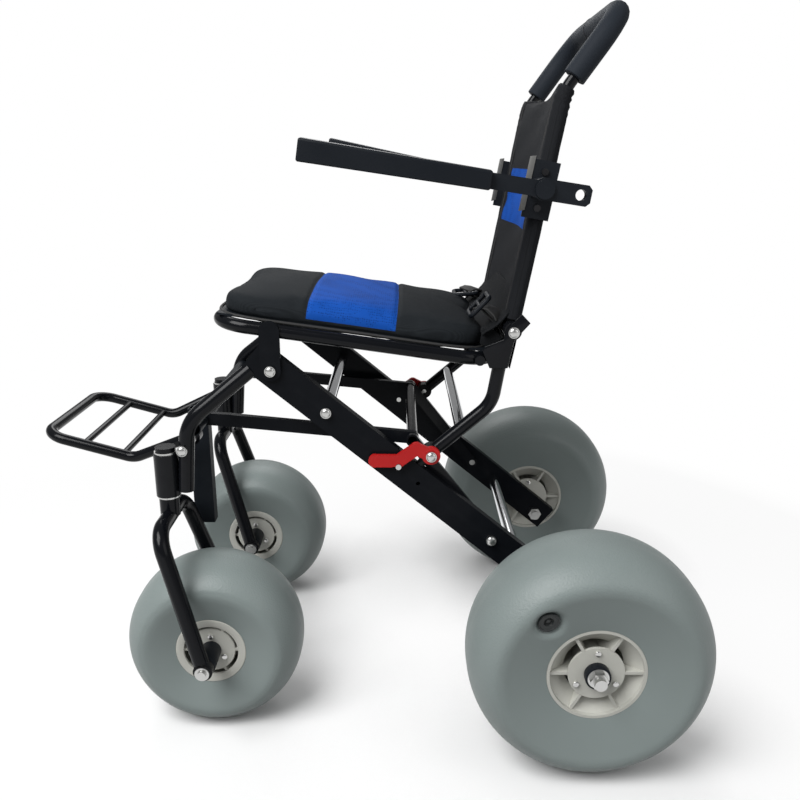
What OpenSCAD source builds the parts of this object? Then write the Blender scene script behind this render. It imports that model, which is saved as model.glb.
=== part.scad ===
// Beach wheelchair: a folding travel chair on four balloon wheels.
// X points forward, Y to the sitter's left, Z up. Modules are drawn with X = 0 at the rear axle.

/* [Wheels] */
// Diameter of a rear wheel
rear_d = 330; // [310:1:345]
// Width of a rear tyre
rear_w = 180; // [150:1:190]
// Distance between the rear wheels' middle planes
rear_track = 580; // [570:1:640]
// Diameter of a front wheel
front_d = 254; // [230:1:256]
// Width of a front tyre
front_w = 142; // [120:1:146]
// Distance between the casters' steering axes
front_track = 374; // [372:1:400]
// Rear axle to front axle
wheelbase = 525; // [515:1:540]
// Front axle to steering axis
trail = 56; // [45:1:58]
// Wall of a tyre
tyre_wall = 5; // [3:0.5:8]
// Diameter of a rear rim
rear_rim_d = 131; // [120:1:140]
// Diameter of a front rim
front_rim_d = 101; // [92:1:108]
// Rim face to middle plane of a rear wheel
rear_rim_face = 58; // [50:1:64]
// Rim face to middle plane of a front wheel
front_rim_face = 50; // [44:1:54]
// Ribs on each face of a hub
hub_ribs = 6; // [3:1:9]
// Diameter of a rear axle
rear_axle_d = 16; // [12:1:20]
// Diameter of a caster axle
caster_axle_d = 12; // [10:1:14]

/* [Frame] */
// Height of a main beam's section
beam_h = 45; // [40:1:50]
// Width of a main beam's section
beam_w = 16; // [14:1:18]
// Middle of a main beam to the middle of the chair
beam_y = 165; // [160:1:168]
// Wall of the frame tubes
tube_wall = 1.5; // [1:0.1:2]
// Diameter of a front tube
front_tube_d = 22; // [20:1:24]
// Diameter of a head tube
head_d = 34; // [32:1:38]
// Length of a head tube
head_len = 62; // [50:1:66]
// Diameter of a caster stem
stem_d = 20; // [16:1:22]
// Diameter of a fork tube
fork_d = 22; // [18:1:24]
// Height of a side brace's section
brace_h = 18; // [14:1:22]
// Thickness of a side brace
brace_t = 10; // [8:1:12]
// Width of a rear strut
strut_w = 18; // [14:1:22]
// Thickness of a rear strut
strut_t = 8; // [6:1:9]
// Diameter of the cross bar
cross_bar_d = 16; // [12:1:18]
// Diameter of a bright cross tube
bright_d = 18; // [14:1:20]
// Diameter of the front cross tube
front_cross_d = 22; // [18:1:24]
// Depth of the front leg's section
leg_x = 30; // [24:1:32]
// Width of the front leg's section
leg_y = 20; // [16:1:22]
// Shank diameter of a pivot bolt
bolt_d = 10; // [8:1:12]

/* [Seat] */
// Diameter of the seat loop's tube
seat_tube_d = 19; // [16:1:20]
// Middle of a seat rail to the middle of the chair
rail_y = 166; // [164:1:168]
// Fall of the seat towards the back, in degrees
seat_fall = 8.1; // [6:0.1:9]
// Depth of the seat loop, middle to middle
seat_depth = 383; // [370:1:388]
// Corner radius of the seat loop
seat_corner = 45; // [40:1:60]
// Thickness of the seat board
board_t = 3; // [2:0.5:5]
// Height of the cushion at its rim
cushion_edge = 22; // [16:1:28]
// Rise of the cushion's crown above its rim
cushion_crown = 16; // [8:1:20]
// How far the cushion's sides draw in between its corners
cushion_draw = 5; // [0:0.5:9]
// Width of the belt
belt_w = 38; // [30:1:45]

/* [Back] */
// Diameter of the back tube
back_d = 16; // [14:1:18]
// Middle of a back tube to the middle of the chair
back_y = 150; // [146:1:152]
// Lean of the back, in degrees
back_lean = 10.4; // [8:0.1:12]
// Length of the straight back tube
back_len = 312; // [300:1:330]
// Lean of the push handle, in degrees
handle_lean = 36; // [30:1:40]
// Length of the push handle's legs
handle_len = 122; // [110:1:140]
// Corner radius of the push handle
handle_corner = 55; // [45:1:70]
// Diameter of the foam grip
foam_d = 31; // [26:1:34]
// Length of the fabric sleeve
sleeve_len = 263; // [240:1:265]
// Thickness of the fabric sleeve's panel
sleeve_t = 16; // [10:1:20]
// Length of an armrest pad
pad_len = 240; // [220:1:260]
// Width of an armrest pad
pad_w = 40; // [34:1:44]
// Height of an armrest pad
pad_h = 28; // [24:1:32]
// Tilt of an armrest up towards the front, in degrees
arm_tilt = 8.8; // [6:0.1:10]
// How much more the right armrest tilts, in degrees
arm_tilt_right = 2.5; // [0:0.1:4]
// Diameter of the bore in an armrest's rear tongue
tongue_bore = 14; // [10:1:16]

/* [Footrest] */
// Diameter of the footrest's tube
foot_d = 16; // [14:1:18]
// How far a footrest hinge lies inside a caster's steering axis
foot_in = 53; // [40:1:60]
// How far a footrest rail draws in from its hinge to its knee
foot_taper = 24; // [10:1:30]
// Diameter of a rung
rung_d = 10; // [8:1:12]
// Corner radius of the footrest
foot_corner = 30; // [24:1:40]

/* [Hidden] */
$fn = 48;

// Overrun of every cut past the faces that it opens
over = 2;
// Radial play of a running fit
fit = 0.05;
// Gap between neighbours that don't touch
gap = 0.3;
// How far a straight run of tube reaches into a bend
lap = 0.5;

rear_r = rear_d / 2;
front_r = front_d / 2;
head_x = wheelbase + trail;
side_y = front_track / 2;

// Main beam: a line from above the rear axle to the seat hinge
beam_foot_up = 6;
hinge_x = 431;
hinge_z = 526;
beam_rise = atan2(hinge_z - rear_r - beam_foot_up, hinge_x);
beam_tail = 28;
beam_nose = 34;
beam_in = beam_y - beam_w / 2;
beam_out = beam_y + beam_w / 2;
function beam_z(x) = rear_r + beam_foot_up + x * tan(beam_rise);

// Places along the frame, from the rear axle
latch_pin_x = 256;
latch_pin_up = 6;
latch_pin_d = 8;
spare_hole_x = 228;
spare_hole_d = 6;
strut_foot_x = 121;
bright_front_x = 357;
bright_rear_x = 81;
cross_x = 236;
cross_z = 417;
brace_y = 131;
brace_front_z = 443;
strut_y = 146;
front_cross_z = 446;
leg_in = 103;
leg_clear = 8;
leg_mid_y = side_y - leg_in;
leg_foot_z = front_d + leg_clear;
leg_wall = 2;
bright_bolt_d = 6;

// Front tube: from the beam's nose to the head tube
front_tube_top = [460, beam_y, 525.3];
weld = 3;
front_tube_x = head_x - head_d / 2 - front_tube_d / 2 + weld;
knee_back = 8;
front_tube_knee = [front_tube_x - knee_back, side_y, 455];
front_tube_bend = 60;
front_cross_back = 16;
front_cross_x = front_tube_x - front_cross_back;
brace_run = 40;
brace_front_x = front_cross_x - brace_run;
leg_lead = 17;
leg_mid_x = front_cross_x + leg_lead;
head_foot_z = 349;
bush_flange = 3;
bush_flange_d = 31;
bush_len = 16;
bush_d = 28;

// Footrest hinge and loop
foot_y = side_y - foot_in;
foot_front_y = foot_y - foot_taper;
foot_hinge_back = 2;
foot_hinge_x = front_tube_x - foot_hinge_back;
foot_hinge_z = 418;
foot_knee_run = 98;
foot_front_run = 130;
foot_knee_x = foot_hinge_x + foot_knee_run;
foot_knee_z = 375;
foot_front_x = foot_knee_x + foot_front_run;
foot_front_z = 412;
foot_eye_d = 22;
foot_eye_w = 18;
foot_bend = 30;
rung_runs = [17, 74];
rung_x = [for (run = rung_runs) foot_knee_x + run];

// Fork, measured from its steering axis
crown_half = 68;
crown_z = 318;
fork_foot_y = 95;
fork_eye_d = 27;
fork_eye_w = 12;
fork_bend = 34;
stem_cap_h = 6;
stem_cap_d = 28;

// Seat loop, in its own leaning plane
back_hinge_x = 101;
back_hinge_z = 580;
seat_lead = 25.8;
seat_drop = 43;
seat_rear_x = back_hinge_x + seat_lead;
seat_front_x = seat_rear_x + seat_depth * cos(seat_fall);
function rail_z(x) = back_hinge_z - seat_drop + (x - seat_rear_x) * tan(seat_fall);
seat_front_z = rail_z(seat_front_x);
seat_r = seat_tube_d / 2;
lug_x = 431;
lug_r = 14;
lug_t = 5;
lug_in = beam_out + gap;

// Back post: from its foot over the beam up to the hinge plate
foot_x = 210;
foot_z = 404;
post_eye_r = 13;
post_knee = [126, 476];
post_top = [113, 556];
post_bend = 50;
plate_t = 5;
tab_reach = 16;
tab_w = 15;
plate_in = rail_y + seat_r;
back_cross_share = 0.5;

// Latch
latch_in = rail_y + seat_r + 2 * gap;
latch_t = 6;
latch_pivot_d = 7;
// The arch from the pivot and the tip from the pin, in shares of pivot to pin
arch_shares = [0.45, 0.22];
tip_shares = [0.72, 0.18];

// Backrest
back_r = back_d / 2;
eye_r = 12;
function back_at(s) = [back_hinge_x - s * sin(back_lean), back_hinge_z + s * cos(back_lean)];
back_top = back_at(back_len);
handle_end = [back_top[0] - handle_len * sin(handle_lean), back_top[1] + handle_len * cos(handle_lean)];
foam_start_share = 0.16;
sleeve_start = 34;
sleeve_skin = 3;
sleeve_bow = 14;
sleeve_dip = 22;
arm_s = 190;
arm_lead = 8;
arm_pivot = back_at(arm_s) + [arm_lead, 0];
bracket_in = back_y + back_r + sleeve_skin + gap;
bracket_t = 5;
bracket_h = 74;
bracket_w = 36;
bracket_drop = 3;
bracket_screws = [20, -26];
bracket_screw_d = 9;
arm_pin_d = 12;
boss_r = 14;
boss_in = bracket_in + bracket_t + gap;
arm_mid_y = 208;
arm_bar_t = 14;
arm_bar_h = 20;
arm_bar_len = 300;
pad_start = 68;
tongue_len = 46;
tongue_h = 26;
tongue_corner = 5;

// The origin is under the middle of the chair's box
mid_x = (foot_front_x + foot_d / 2 - rear_r) / 2;

// Vectors
function unit(v) = v / norm(v);
function mid(a, b, t) = a + (b - a) * t;
function xyz(p, y) = [p[0], y, p[1]];
function flip(p, side) = [p[0], p[1] * side, p[2]];

// A round bar from a to b
module rod(a, b, r) {
    d = b - a;
    translate(a)
        rotate([0, acos(d[2] / norm(d)), atan2(d[1], d[0])])
            cylinder(h = norm(d), r = r);
}

// A ring's outline; with no bore it is a disc
module ring_2d(r, bore) {
    difference() {
        circle(r = r);
        if (bore > 0) circle(r = bore);
    }
}

// A round tube along a route of straight runs joined by bends of one radius.
// The bends are a hair fuller than the runs, which reach into them.
module bent_tube(route, bend, r, bore, closed = false) {
    n = len(route);
    runs = closed ? n : n - 1;
    ahead = [for (i = [0:n - 1]) unit(route[(i + 1) % n] - route[i])];
    turns = [for (i = [0:n - 1])
        !closed && (i == 0 || i == n - 1) ? 0 : acos(ahead[(i + n - 1) % n] * ahead[i])];
    cuts = [for (t = turns) t > 0 ? bend * tan(t / 2) - lap : 0];
    for (i = [0:runs - 1]) {
        u = ahead[i];
        run = norm(route[(i + 1) % n] - route[i]) - cuts[i] - cuts[(i + 1) % n];
        translate(route[i] + u * cuts[i])
            rotate([0, acos(u[2]), atan2(u[1], u[0])])
                linear_extrude(height = run)
                    ring_2d(r, bore);
    }
    for (i = [0:n - 1]) if (turns[i] > 0) {
        u = ahead[(i + n - 1) % n];
        w = unit(cross(u, ahead[i]));
        p = cross(u, w);
        c = route[i] - u * (cuts[i] + lap) - p * bend;
        multmatrix([
            [p[0], u[0], w[0], c[0]], [p[1], u[1], w[1], c[1]], [p[2], u[2], w[2], c[2]], [0, 0, 0, 1]])
            rotate_extrude(angle = turns[i])
                translate([bend, 0])
                    ring_2d(r + fit, bore > 0 ? bore - fit : 0);
    }
}

// A solid round bar along such a route
module bent_rod(route, bend, r, closed = false) {
    bent_tube(route, bend, r, 0, closed);
}

// A cylinder along Y at (x, z), from y0 to y1
module pin_y(x, z, y0, y1, r) {
    translate([x, y1, z])
        rotate([90, 0, 0])
            cylinder(h = y1 - y0, r = r);
}

// A plate of a side outline, from y0 to y1
module plate_y(y0, y1) {
    translate([0, y1, 0])
        rotate([90, 0, 0])
            linear_extrude(height = y1 - y0)
                children();
}

// A flat bar's outline from point to point, with round joints a hair wider than the bar
module bar_2d(points, w) {
    for (i = [0:len(points) - 2]) {
        d = points[i + 1] - points[i];
        translate(points[i])
            rotate(atan2(d[1], d[0]))
                translate([0, -w / 2])
                    square([norm(d), w]);
    }
    for (p = points) {
        translate(p)
            circle(r = w / 2 + gap);
    }
}

// Draws its children for one side: 1 is the left, -1 the right
module on_side(side) {
    if (side > 0) children();
    else mirror([0, 1, 0]) children();
}

module both_sides() {
    for (side = [1, -1]) on_side(side) children();
}

module place() {
    translate([-mid_x, 0, 0]) children();
}

// Chassis

module beam_solid(grow) {
    run = hinge_x / cos(beam_rise);
    translate([0, beam_y, beam_z(0)])
        rotate([0, -beam_rise, 0])
            translate([-beam_tail - over * grow, -beam_w / 2, -beam_h / 2])
                cube([beam_tail + run + beam_nose + 2 * over * grow, beam_w, beam_h]);
}

module main_beam(side) {
    run = hinge_x / cos(beam_rise);
    holes = [
        [0, rear_r, rear_axle_d / 2 + fit], [hinge_x, hinge_z, bolt_d / 2 + fit],
        [latch_pin_x, beam_z(latch_pin_x) + latch_pin_up, latch_pin_d / 2 + fit],
        [spare_hole_x, beam_z(spare_hole_x), spare_hole_d / 2],
        [strut_foot_x, beam_z(strut_foot_x), bolt_d / 2 + fit],
        [bright_front_x, beam_z(bright_front_x), bright_bolt_d / 2 + fit],
        [bright_rear_x, beam_z(bright_rear_x), bright_bolt_d / 2 + fit]];
    color("#14161c") on_side(side) difference() {
        beam_solid(0);
        translate([0, beam_y, beam_z(0)])
            rotate([0, -beam_rise, 0])
                translate([-beam_tail - over, tube_wall - beam_w / 2, tube_wall - beam_h / 2]) cube([
                    beam_tail + run + beam_nose + 2 * over, beam_w - 2 * tube_wall, beam_h - 2 * tube_wall]);
        for (h = holes) pin_y(h[0], h[1], beam_in - over, beam_out + over, h[2]);
    }
}

function front_route() = [
    front_tube_top, front_tube_knee, [front_tube_x, side_y, head_foot_z + 4 * tube_wall]];

module front_tube(side) {
    color("#101114") on_side(side) difference() {
        bent_rod(front_route(), front_tube_bend, front_tube_d / 2);
        beam_solid(0);
        translate([head_x, side_y, head_foot_z - over])
            cylinder(h = head_len + 2 * over, d = head_d);
        pin_y(foot_hinge_x, foot_hinge_z, side_y - front_tube_d, side_y + front_tube_d, bolt_d / 2 + fit);
    }
}

module head_tube(side) {
    color("#101114") on_side(side) translate([head_x, side_y, head_foot_z]) difference() {
        cylinder(h = head_len, d = head_d);
        translate([0, 0, -over]) cylinder(h = head_len + 2 * over, d = bush_d + 2 * fit);
    }
}

module head_bushes() {
    color("silver") both_sides() translate([head_x, side_y, 0]) for (up = [0, 1])
        translate([0, 0, up ? head_foot_z + head_len : head_foot_z]) mirror([0, 0, up]) difference() {
            union() {
                translate([0, 0, -bush_flange]) cylinder(h = bush_flange, d = bush_flange_d);
                cylinder(h = bush_len, d = bush_d);
            }
            translate([0, 0, -bush_flange - over])
                cylinder(h = bush_len + bush_flange + 2 * over, d = stem_d + 2 * fit);
        }
}

module side_brace(side) {
    route = [[cross_x, cross_z], [brace_front_x, brace_front_z], [front_cross_x, front_cross_z]];
    end_y = brace_y + brace_t + over;
    color("#101114") on_side(side) difference() {
        plate_y(brace_y, brace_y + brace_t) bar_2d(route, brace_h);
        pin_y(cross_x, cross_z, brace_y - over, end_y, cross_bar_d / 2 + fit);
        pin_y(front_cross_x, front_cross_z, brace_y - over, end_y, front_cross_d / 2 + fit);
    }
}

module rear_strut(side) {
    color("#101114") on_side(side) difference() {
        plate_y(strut_y, strut_y + strut_t)
            bar_2d([[strut_foot_x, beam_z(strut_foot_x)], [cross_x, cross_z]], strut_w);
        pin_y(cross_x, cross_z, strut_y - over, strut_y + strut_t + over, cross_bar_d / 2 + fit);
        pin_y(strut_foot_x, beam_z(strut_foot_x), strut_y - over, strut_y + strut_t + over, bolt_d / 2 + fit);
    }
}

module cross_bar() {
    end_y = strut_y + strut_t;
    color("#101114") difference() {
        pin_y(cross_x, cross_z, -end_y, end_y, cross_bar_d / 2);
        pin_y(cross_x, cross_z, -end_y - over, end_y + over, cross_bar_d / 2 - tube_wall);
    }
}

module front_cross_tube() {
    color("#2a2d33") difference() {
        pin_y(front_cross_x, front_cross_z, -side_y, side_y, front_cross_d / 2);
        pin_y(front_cross_x, front_cross_z, -side_y - over, side_y + over, front_cross_d / 2 - tube_wall);
        both_sides() bent_rod(front_route(), front_tube_bend, front_tube_d / 2);
    }
}

// The leg hangs on the left side only, from the front cross tube
module front_leg() {
    h = front_cross_z - leg_foot_z;
    color("#14161c") difference() {
        translate([leg_mid_x - leg_x / 2, leg_mid_y - leg_y / 2, leg_foot_z]) cube([leg_x, leg_y, h]);
        translate([leg_mid_x - leg_x / 2 + leg_wall, leg_mid_y - leg_y / 2 + leg_wall, leg_foot_z - over])
            cube([leg_x - 2 * leg_wall, leg_y - 2 * leg_wall, h + 2 * over]);
        pin_y(front_cross_x, front_cross_z, leg_mid_y - leg_y, leg_mid_y + leg_y, front_cross_d / 2);
    }
}

module bright_cross_tubes() {
    color("gainsboro") for (x = [bright_front_x, bright_rear_x]) difference() {
        pin_y(x, beam_z(x), -beam_in, beam_in, bright_d / 2);
        pin_y(x, beam_z(x), -beam_in - over, beam_in + over, bright_d / 2 - tube_wall);
    }
}

collar_d = 28;
axle_tail = 14;
sleeve_reach = 66;
nut_t = 7;
nut_d = 24;
tip_len = 8;

module rear_axles() {
    y0 = rear_track / 2;
    color("silver") both_sides() {
        pin_y(0, rear_r, beam_in - axle_tail, y0 + sleeve_reach + nut_t + tip_len, rear_axle_d / 2);
        pin_y(0, rear_r, beam_out, y0 - rear_rim_face - gap, collar_d / 2);
    }
}

module axle_nuts() {
    y0 = rear_track / 2;
    color("silver") both_sides() {
        for (y = [beam_in - nut_t, y0 + sleeve_reach]) difference() {
            plate_y(y, y + nut_t) translate([0, rear_r]) circle(d = nut_d, $fn = 6);
            pin_y(0, rear_r, y - over, y + nut_t + over, rear_axle_d / 2);
        }
        difference() {
            pin_y(0, rear_r, y0 + rear_rim_face + gap, y0 + sleeve_reach, collar_d / 2);
            pin_y(0, rear_r, y0, y0 + sleeve_reach + over, rear_axle_d / 2);
        }
    }
}

bolt_head_t = 5;
bolt_head_d = 15;

// A domed bolt head on the face at y, with its shank running inwards to y_in
module bolt(x, z, y_in, y, d) {
    pin_y(x, z, y_in, y, d / 2);
    pin_y(x, z, y, y + bolt_head_t, bolt_head_d / 2);
}

module frame_bolts() {
    color("silver") both_sides() {
        bolt(hinge_x, hinge_z, beam_in - over, lug_in + lug_t + gap, bolt_d);
        bolt(strut_foot_x, beam_z(strut_foot_x), strut_y, beam_out, bolt_d);
        for (x = [bright_front_x, bright_rear_x]) bolt(x, beam_z(x), beam_in, beam_out, bright_bolt_d);
        bolt(foot_hinge_x, foot_hinge_z, foot_y - foot_eye_w / 2 - over, side_y + front_tube_d / 2, bolt_d);
        difference() {
            pin_y(foot_hinge_x, foot_hinge_z, foot_y + foot_eye_w / 2 + gap, side_y, bolt_d / 2 + over);
            bent_rod(front_route(), front_tube_bend, front_tube_d / 2);
        }
    }
}

module latch_pins() {
    z = beam_z(latch_pin_x) + latch_pin_up;
    color("silver") both_sides() pin_y(latch_pin_x, z, beam_in, latch_in + latch_t + over, latch_pin_d / 2);
}

bumper_d = 13;

module rest_bumpers() {
    reach = (foot_z - beam_z(foot_x)) * cos(beam_rise) - beam_h / 2 - post_eye_r - gap;
    foot = foot_x + (foot_z - beam_z(foot_x)) * cos(beam_rise) * sin(beam_rise);
    color("#1a1a1a") both_sides() translate([foot, beam_y, beam_z(foot)]) rotate([0, -beam_rise, 0])
        translate([0, 0, beam_h / 2]) cylinder(h = reach, d = bumper_d);
}

// Seat unit

module seat_loop() {
    f = [seat_front_x, seat_front_z];
    r = [seat_rear_x, rail_z(seat_rear_x)];
    route = [xyz(f, rail_y), xyz(f, -rail_y), xyz(r, -rail_y), xyz(r, rail_y)];
    color("#101114") bent_rod(route, seat_corner, seat_r, closed = true);
}

module seat_lugs() {
    top = rail_z(lug_x);
    tail = xyz([seat_rear_x, rail_z(seat_rear_x)], rail_y);
    color("#101114") both_sides() difference() {
        plate_y(lug_in, lug_in + lug_t) bar_2d([[hinge_x, hinge_z], [lug_x, top]], 2 * lug_r);
        pin_y(hinge_x, hinge_z, lug_in - over, lug_in + lug_t + over, bolt_d / 2 + fit);
        rod(tail, xyz([seat_front_x, seat_front_z], rail_y), seat_r);
    }
}

// Draws its children in the seat's own plane: X forward along the rail from the rear bar
module on_seat() {
    translate([seat_rear_x, 0, rail_z(seat_rear_x)]) rotate([0, -seat_fall, 0]) children();
}

module seat_board() {
    w = 2 * rail_y - seat_tube_d;
    color("#202228") on_seat() translate([0, -w / 2, seat_r + fit]) cube([seat_depth, w, board_t]);
}

// Cushion: rings of a rounded, drawn-in outline under a crown
cushion_lap = 12;
cushion_len = seat_depth + cushion_lap;
cushion_wide = 2 * rail_y - cushion_lap;
cushion_sides = 40;
cushion_power = 0.16;
// Each ring of the sides: its share of the outline and of the rim's height
side_shares = [[0.94, 0], [0.985, 0.2], [1, 0.5], [0.985, 0.8]];
crown_shares = [0.95, 0.85, 0.65, 0.35];
function soft_sign(v) = sign(v) * pow(abs(v), cushion_power);
function cushion_point(a, k) = [
    k * (cushion_len / 2 - cushion_draw * pow(cos(2 * a), 2)) * soft_sign(cos(a)),
    k * (cushion_wide / 2 - cushion_draw * pow(cos(2 * a), 2)) * soft_sign(sin(a))];
function cushion_rise(k) = cushion_edge + cushion_crown * (1 - pow(k, 3));

module cushion_solid() {
    rings = concat(
        [for (g = side_shares) [g[0], g[1] * cushion_edge]],
        [for (k = crown_shares) [k, cushion_rise(k)]]);
    n = cushion_sides;
    m = len(rings);
    points = concat(
        [for (g = rings) for (i = [0:n - 1]) concat(cushion_point(i * 360 / n, g[0]), [g[1]])],
        [[0, 0, 0], [0, 0, cushion_rise(0)]]);
    walls = [for (j = [0:m - 2]) for (i = [0:n - 1]) for (k = [0, 1])
        let (a = j * n + i, b = j * n + (i + 1) % n)
        k == 0 ? [a, a + n, b] : [b, a + n, b + n]];
    base = [for (i = [0:n - 1]) [i, (i + 1) % n, m * n]];
    crown = [for (i = [0:n - 1]) [(m - 1) * n + (i + 1) % n, (m - 1) * n + i, m * n + 1]];
    polyhedron(points, concat(walls, base, crown));
}

module seat_cushion() {
    color("#15161a") on_seat() translate([seat_depth / 2, 0, seat_r + board_t + gap]) cushion_solid();
}

function post_route() = [
    xyz([foot_x, foot_z], rail_y), xyz(post_knee, rail_y), xyz(post_top, rail_y)];

module back_post(side) {
    color("#101114") on_side(side) difference() {
        union() {
            bent_rod(post_route(), post_bend, seat_r);
            pin_y(foot_x, foot_z, beam_in, latch_in - gap, post_eye_r);
        }
        pin_y(foot_x, foot_z, beam_in - over, latch_in + over, latch_pivot_d / 2 + fit);
    }
}

module hinge_plates() {
    rail_x = seat_rear_x + seat_corner;
    outline = [post_top - [0, 4 * plate_t], [back_hinge_x, back_hinge_z], [rail_x, rail_z(rail_x)]];
    color("#101114") both_sides() difference() {
        plate_y(plate_in, plate_in + plate_t) union() {
            polygon(outline);
            bar_2d(concat(outline, [outline[0]]), 2 * eye_r);
            bar_2d([outline[1], outline[1] + [-tab_reach, tab_reach]], tab_w);
        }
        pin_y(back_hinge_x, back_hinge_z, plate_in - over, plate_in + plate_t + over, bolt_d / 2);
    }
}

module back_cross_tube() {
    p = mid([foot_x, foot_z], post_knee, back_cross_share);
    end_y = rail_y;
    color("gainsboro") difference() {
        pin_y(p[0], p[1], -end_y, end_y, bright_d / 2 - gap);
        both_sides() bent_rod(post_route(), post_bend, seat_r);
    }
}

module seat_bolts() {
    color("silver") both_sides() {
        bolt(back_hinge_x, back_hinge_z, back_y - eye_r + over, plate_in + plate_t, bolt_d);
        bolt(foot_x, foot_z, beam_in, latch_in + latch_t + gap, latch_pivot_d);
    }
}

// Belt: each strap rises behind the cushion from the loop's rear bar and lies over it to a buckle
belt_t = 2.5;
belt_y = 109;
belt_reach = 34;
buckle = [44, 52, 12];
buckle_lap = 4;
// Where the buckle rests, as a share of the cushion's outline
buckle_seat_share = 0.6;
belt_top = seat_r + board_t + gap + cushion_rise(buckle_seat_share) + gap;

module lap_belt() {
    color("#17181b") on_seat() both_sides() translate([-seat_r - belt_t, belt_y - belt_w / 2, 0]) {
        cube([belt_t, belt_w, belt_top]);
        translate([0, 0, belt_top - belt_t]) cube([seat_r + belt_t + belt_reach, belt_w, belt_t]);
    }
}

module belt_buckle() {
    color("#0c0c0d") on_seat() both_sides()
        translate([belt_reach - buckle_lap, belt_y - buckle[1] / 2, belt_top]) cube(buckle);
}

// Backrest

function back_route() = [
    xyz(back_at(eye_r), back_y), xyz(back_top, back_y), xyz(handle_end, back_y),
    xyz(handle_end, -back_y), xyz(back_top, -back_y), xyz(back_at(eye_r), -back_y)];

module back_frame() {
    color("#101114") difference() {
        union() {
            bent_rod(back_route(), handle_corner, back_r);
            both_sides() pin_y(back_hinge_x, back_hinge_z, back_y - back_r - over, plate_in - gap, eye_r);
        }
        both_sides() pin_y(back_hinge_x, back_hinge_z, back_y - eye_r, plate_in + over, bolt_d / 2 + fit);
    }
}

module handle_foam() {
    start = mid(back_top, handle_end, foam_start_share);
    route = [xyz(start, back_y), xyz(handle_end, back_y), xyz(handle_end, -back_y), xyz(start, -back_y)];
    color("#1b1b1c") bent_tube(route, handle_corner, foam_d / 2, back_r + gap);
}

// The sleeve's panel bows back between the two tubes and wraps each of them; its top edge dips
function arc_r(rise) = (pow(back_y, 2) + pow(rise, 2)) / (2 * rise);

module back_sleeve() {
    bow_r = arc_r(sleeve_bow);
    dip_r = arc_r(sleeve_dip);
    wrap_r = back_r + sleeve_skin;
    color("#16171b") translate([back_hinge_x, 0, back_hinge_z]) rotate([0, -back_lean, 0])
        translate([0, 0, sleeve_start]) difference() {
            linear_extrude(height = sleeve_len) {
                intersection() {
                    translate([bow_r - sleeve_bow, 0]) difference() {
                        circle(r = bow_r + sleeve_t / 2, $fn = 180);
                        circle(r = bow_r - sleeve_t / 2, $fn = 180);
                    }
                    translate([-back_y, -back_y]) square([2 * back_y, 2 * back_y]);
                }
                for (side = [1, -1]) translate([0, side * back_y]) circle(r = wrap_r);
            }
            for (side = [1, -1]) translate([0, side * back_y, -over])
                cylinder(h = sleeve_len + 2 * over, r = back_r + gap);
            translate([-back_y, 0, sleeve_len + dip_r - sleeve_dip]) rotate([0, 90, 0])
                cylinder(h = 2 * back_y, r = dip_r, $fn = 180);
        }
}

// Draws its children in the backrest's own frame, at the armrest's height on the back tube
module on_bracket() {
    translate([back_at(arm_s)[0], 0, back_at(arm_s)[1]]) rotate([0, -back_lean, 0])
        translate([arm_lead / 2, 0, 0]) children();
}

module arm_brackets() {
    p = arm_pivot;
    face = arm_mid_y + arm_bar_t / 2;
    color("#131417") both_sides() {
        on_bracket() translate([-bracket_w / 2, bracket_in, -bracket_h / 2 - bracket_drop])
            cube([bracket_w, bracket_t, bracket_h]);
        pin_y(p[0], p[1], bracket_in + bracket_t, face + gap, arm_pin_d / 2);
        pin_y(p[0], p[1], face + gap, face + bolt_head_t, boss_r - over);
    }
}

module bracket_screws() {
    y = bracket_in + bracket_t;
    color("silver") both_sides() on_bracket()
        for (z = bracket_screws) pin_y(0, z, y, y + bracket_screw_d / 3, bracket_screw_d / 2);
}

// Draws its children in an armrest's own frame: X forward along the bar from the pivot
module on_arm(side) {
    tilt = side > 0 ? arm_tilt : arm_tilt + arm_tilt_right;
    on_side(side) translate([arm_pivot[0], arm_mid_y, arm_pivot[1]]) rotate([0, -tilt, 0]) children();
}

module arm_bar(side) {
    t = arm_bar_t;
    h = tongue_h / 2;
    c = tongue_corner;
    end = tongue_len + h;
    color("#131417") on_arm(side) difference() {
        union() {
            translate([0, -t / 2, -arm_bar_h / 2]) cube([arm_bar_len, t, arm_bar_h]);
            plate_y(boss_in - arm_mid_y, t / 2) circle(r = boss_r);
            plate_y(-t / 2, t / 2) polygon([
                [over, h], [c - end, h], [-end, h - c], [-end, c - h], [c - end, -h], [over, -h]]);
        }
        pin_y(0, 0, -arm_mid_y, t, arm_pin_d / 2 + fit);
        pin_y(-tongue_len, 0, -t, t, tongue_bore / 2);
    }
}

pad_round = 8;

module arm_pad(side) {
    color("#17181a") on_arm(side) difference() {
        translate([pad_start + pad_len, 0, 0]) rotate([0, -90, 0]) linear_extrude(height = pad_len) union() {
            square([pad_h, pad_w - 2 * pad_round], center = true);
            square([pad_h - 2 * pad_round, pad_w], center = true);
            for (i = [-1, 1]) for (j = [-1, 1])
                translate([i * (pad_h / 2 - pad_round), j * (pad_w / 2 - pad_round)]) circle(r = pad_round);
        }
        translate([0, -arm_bar_t / 2 - gap, -arm_bar_h / 2 - gap])
            cube([arm_bar_len + gap, arm_bar_t + 2 * gap, arm_bar_h + 2 * gap]);
    }
}

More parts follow.
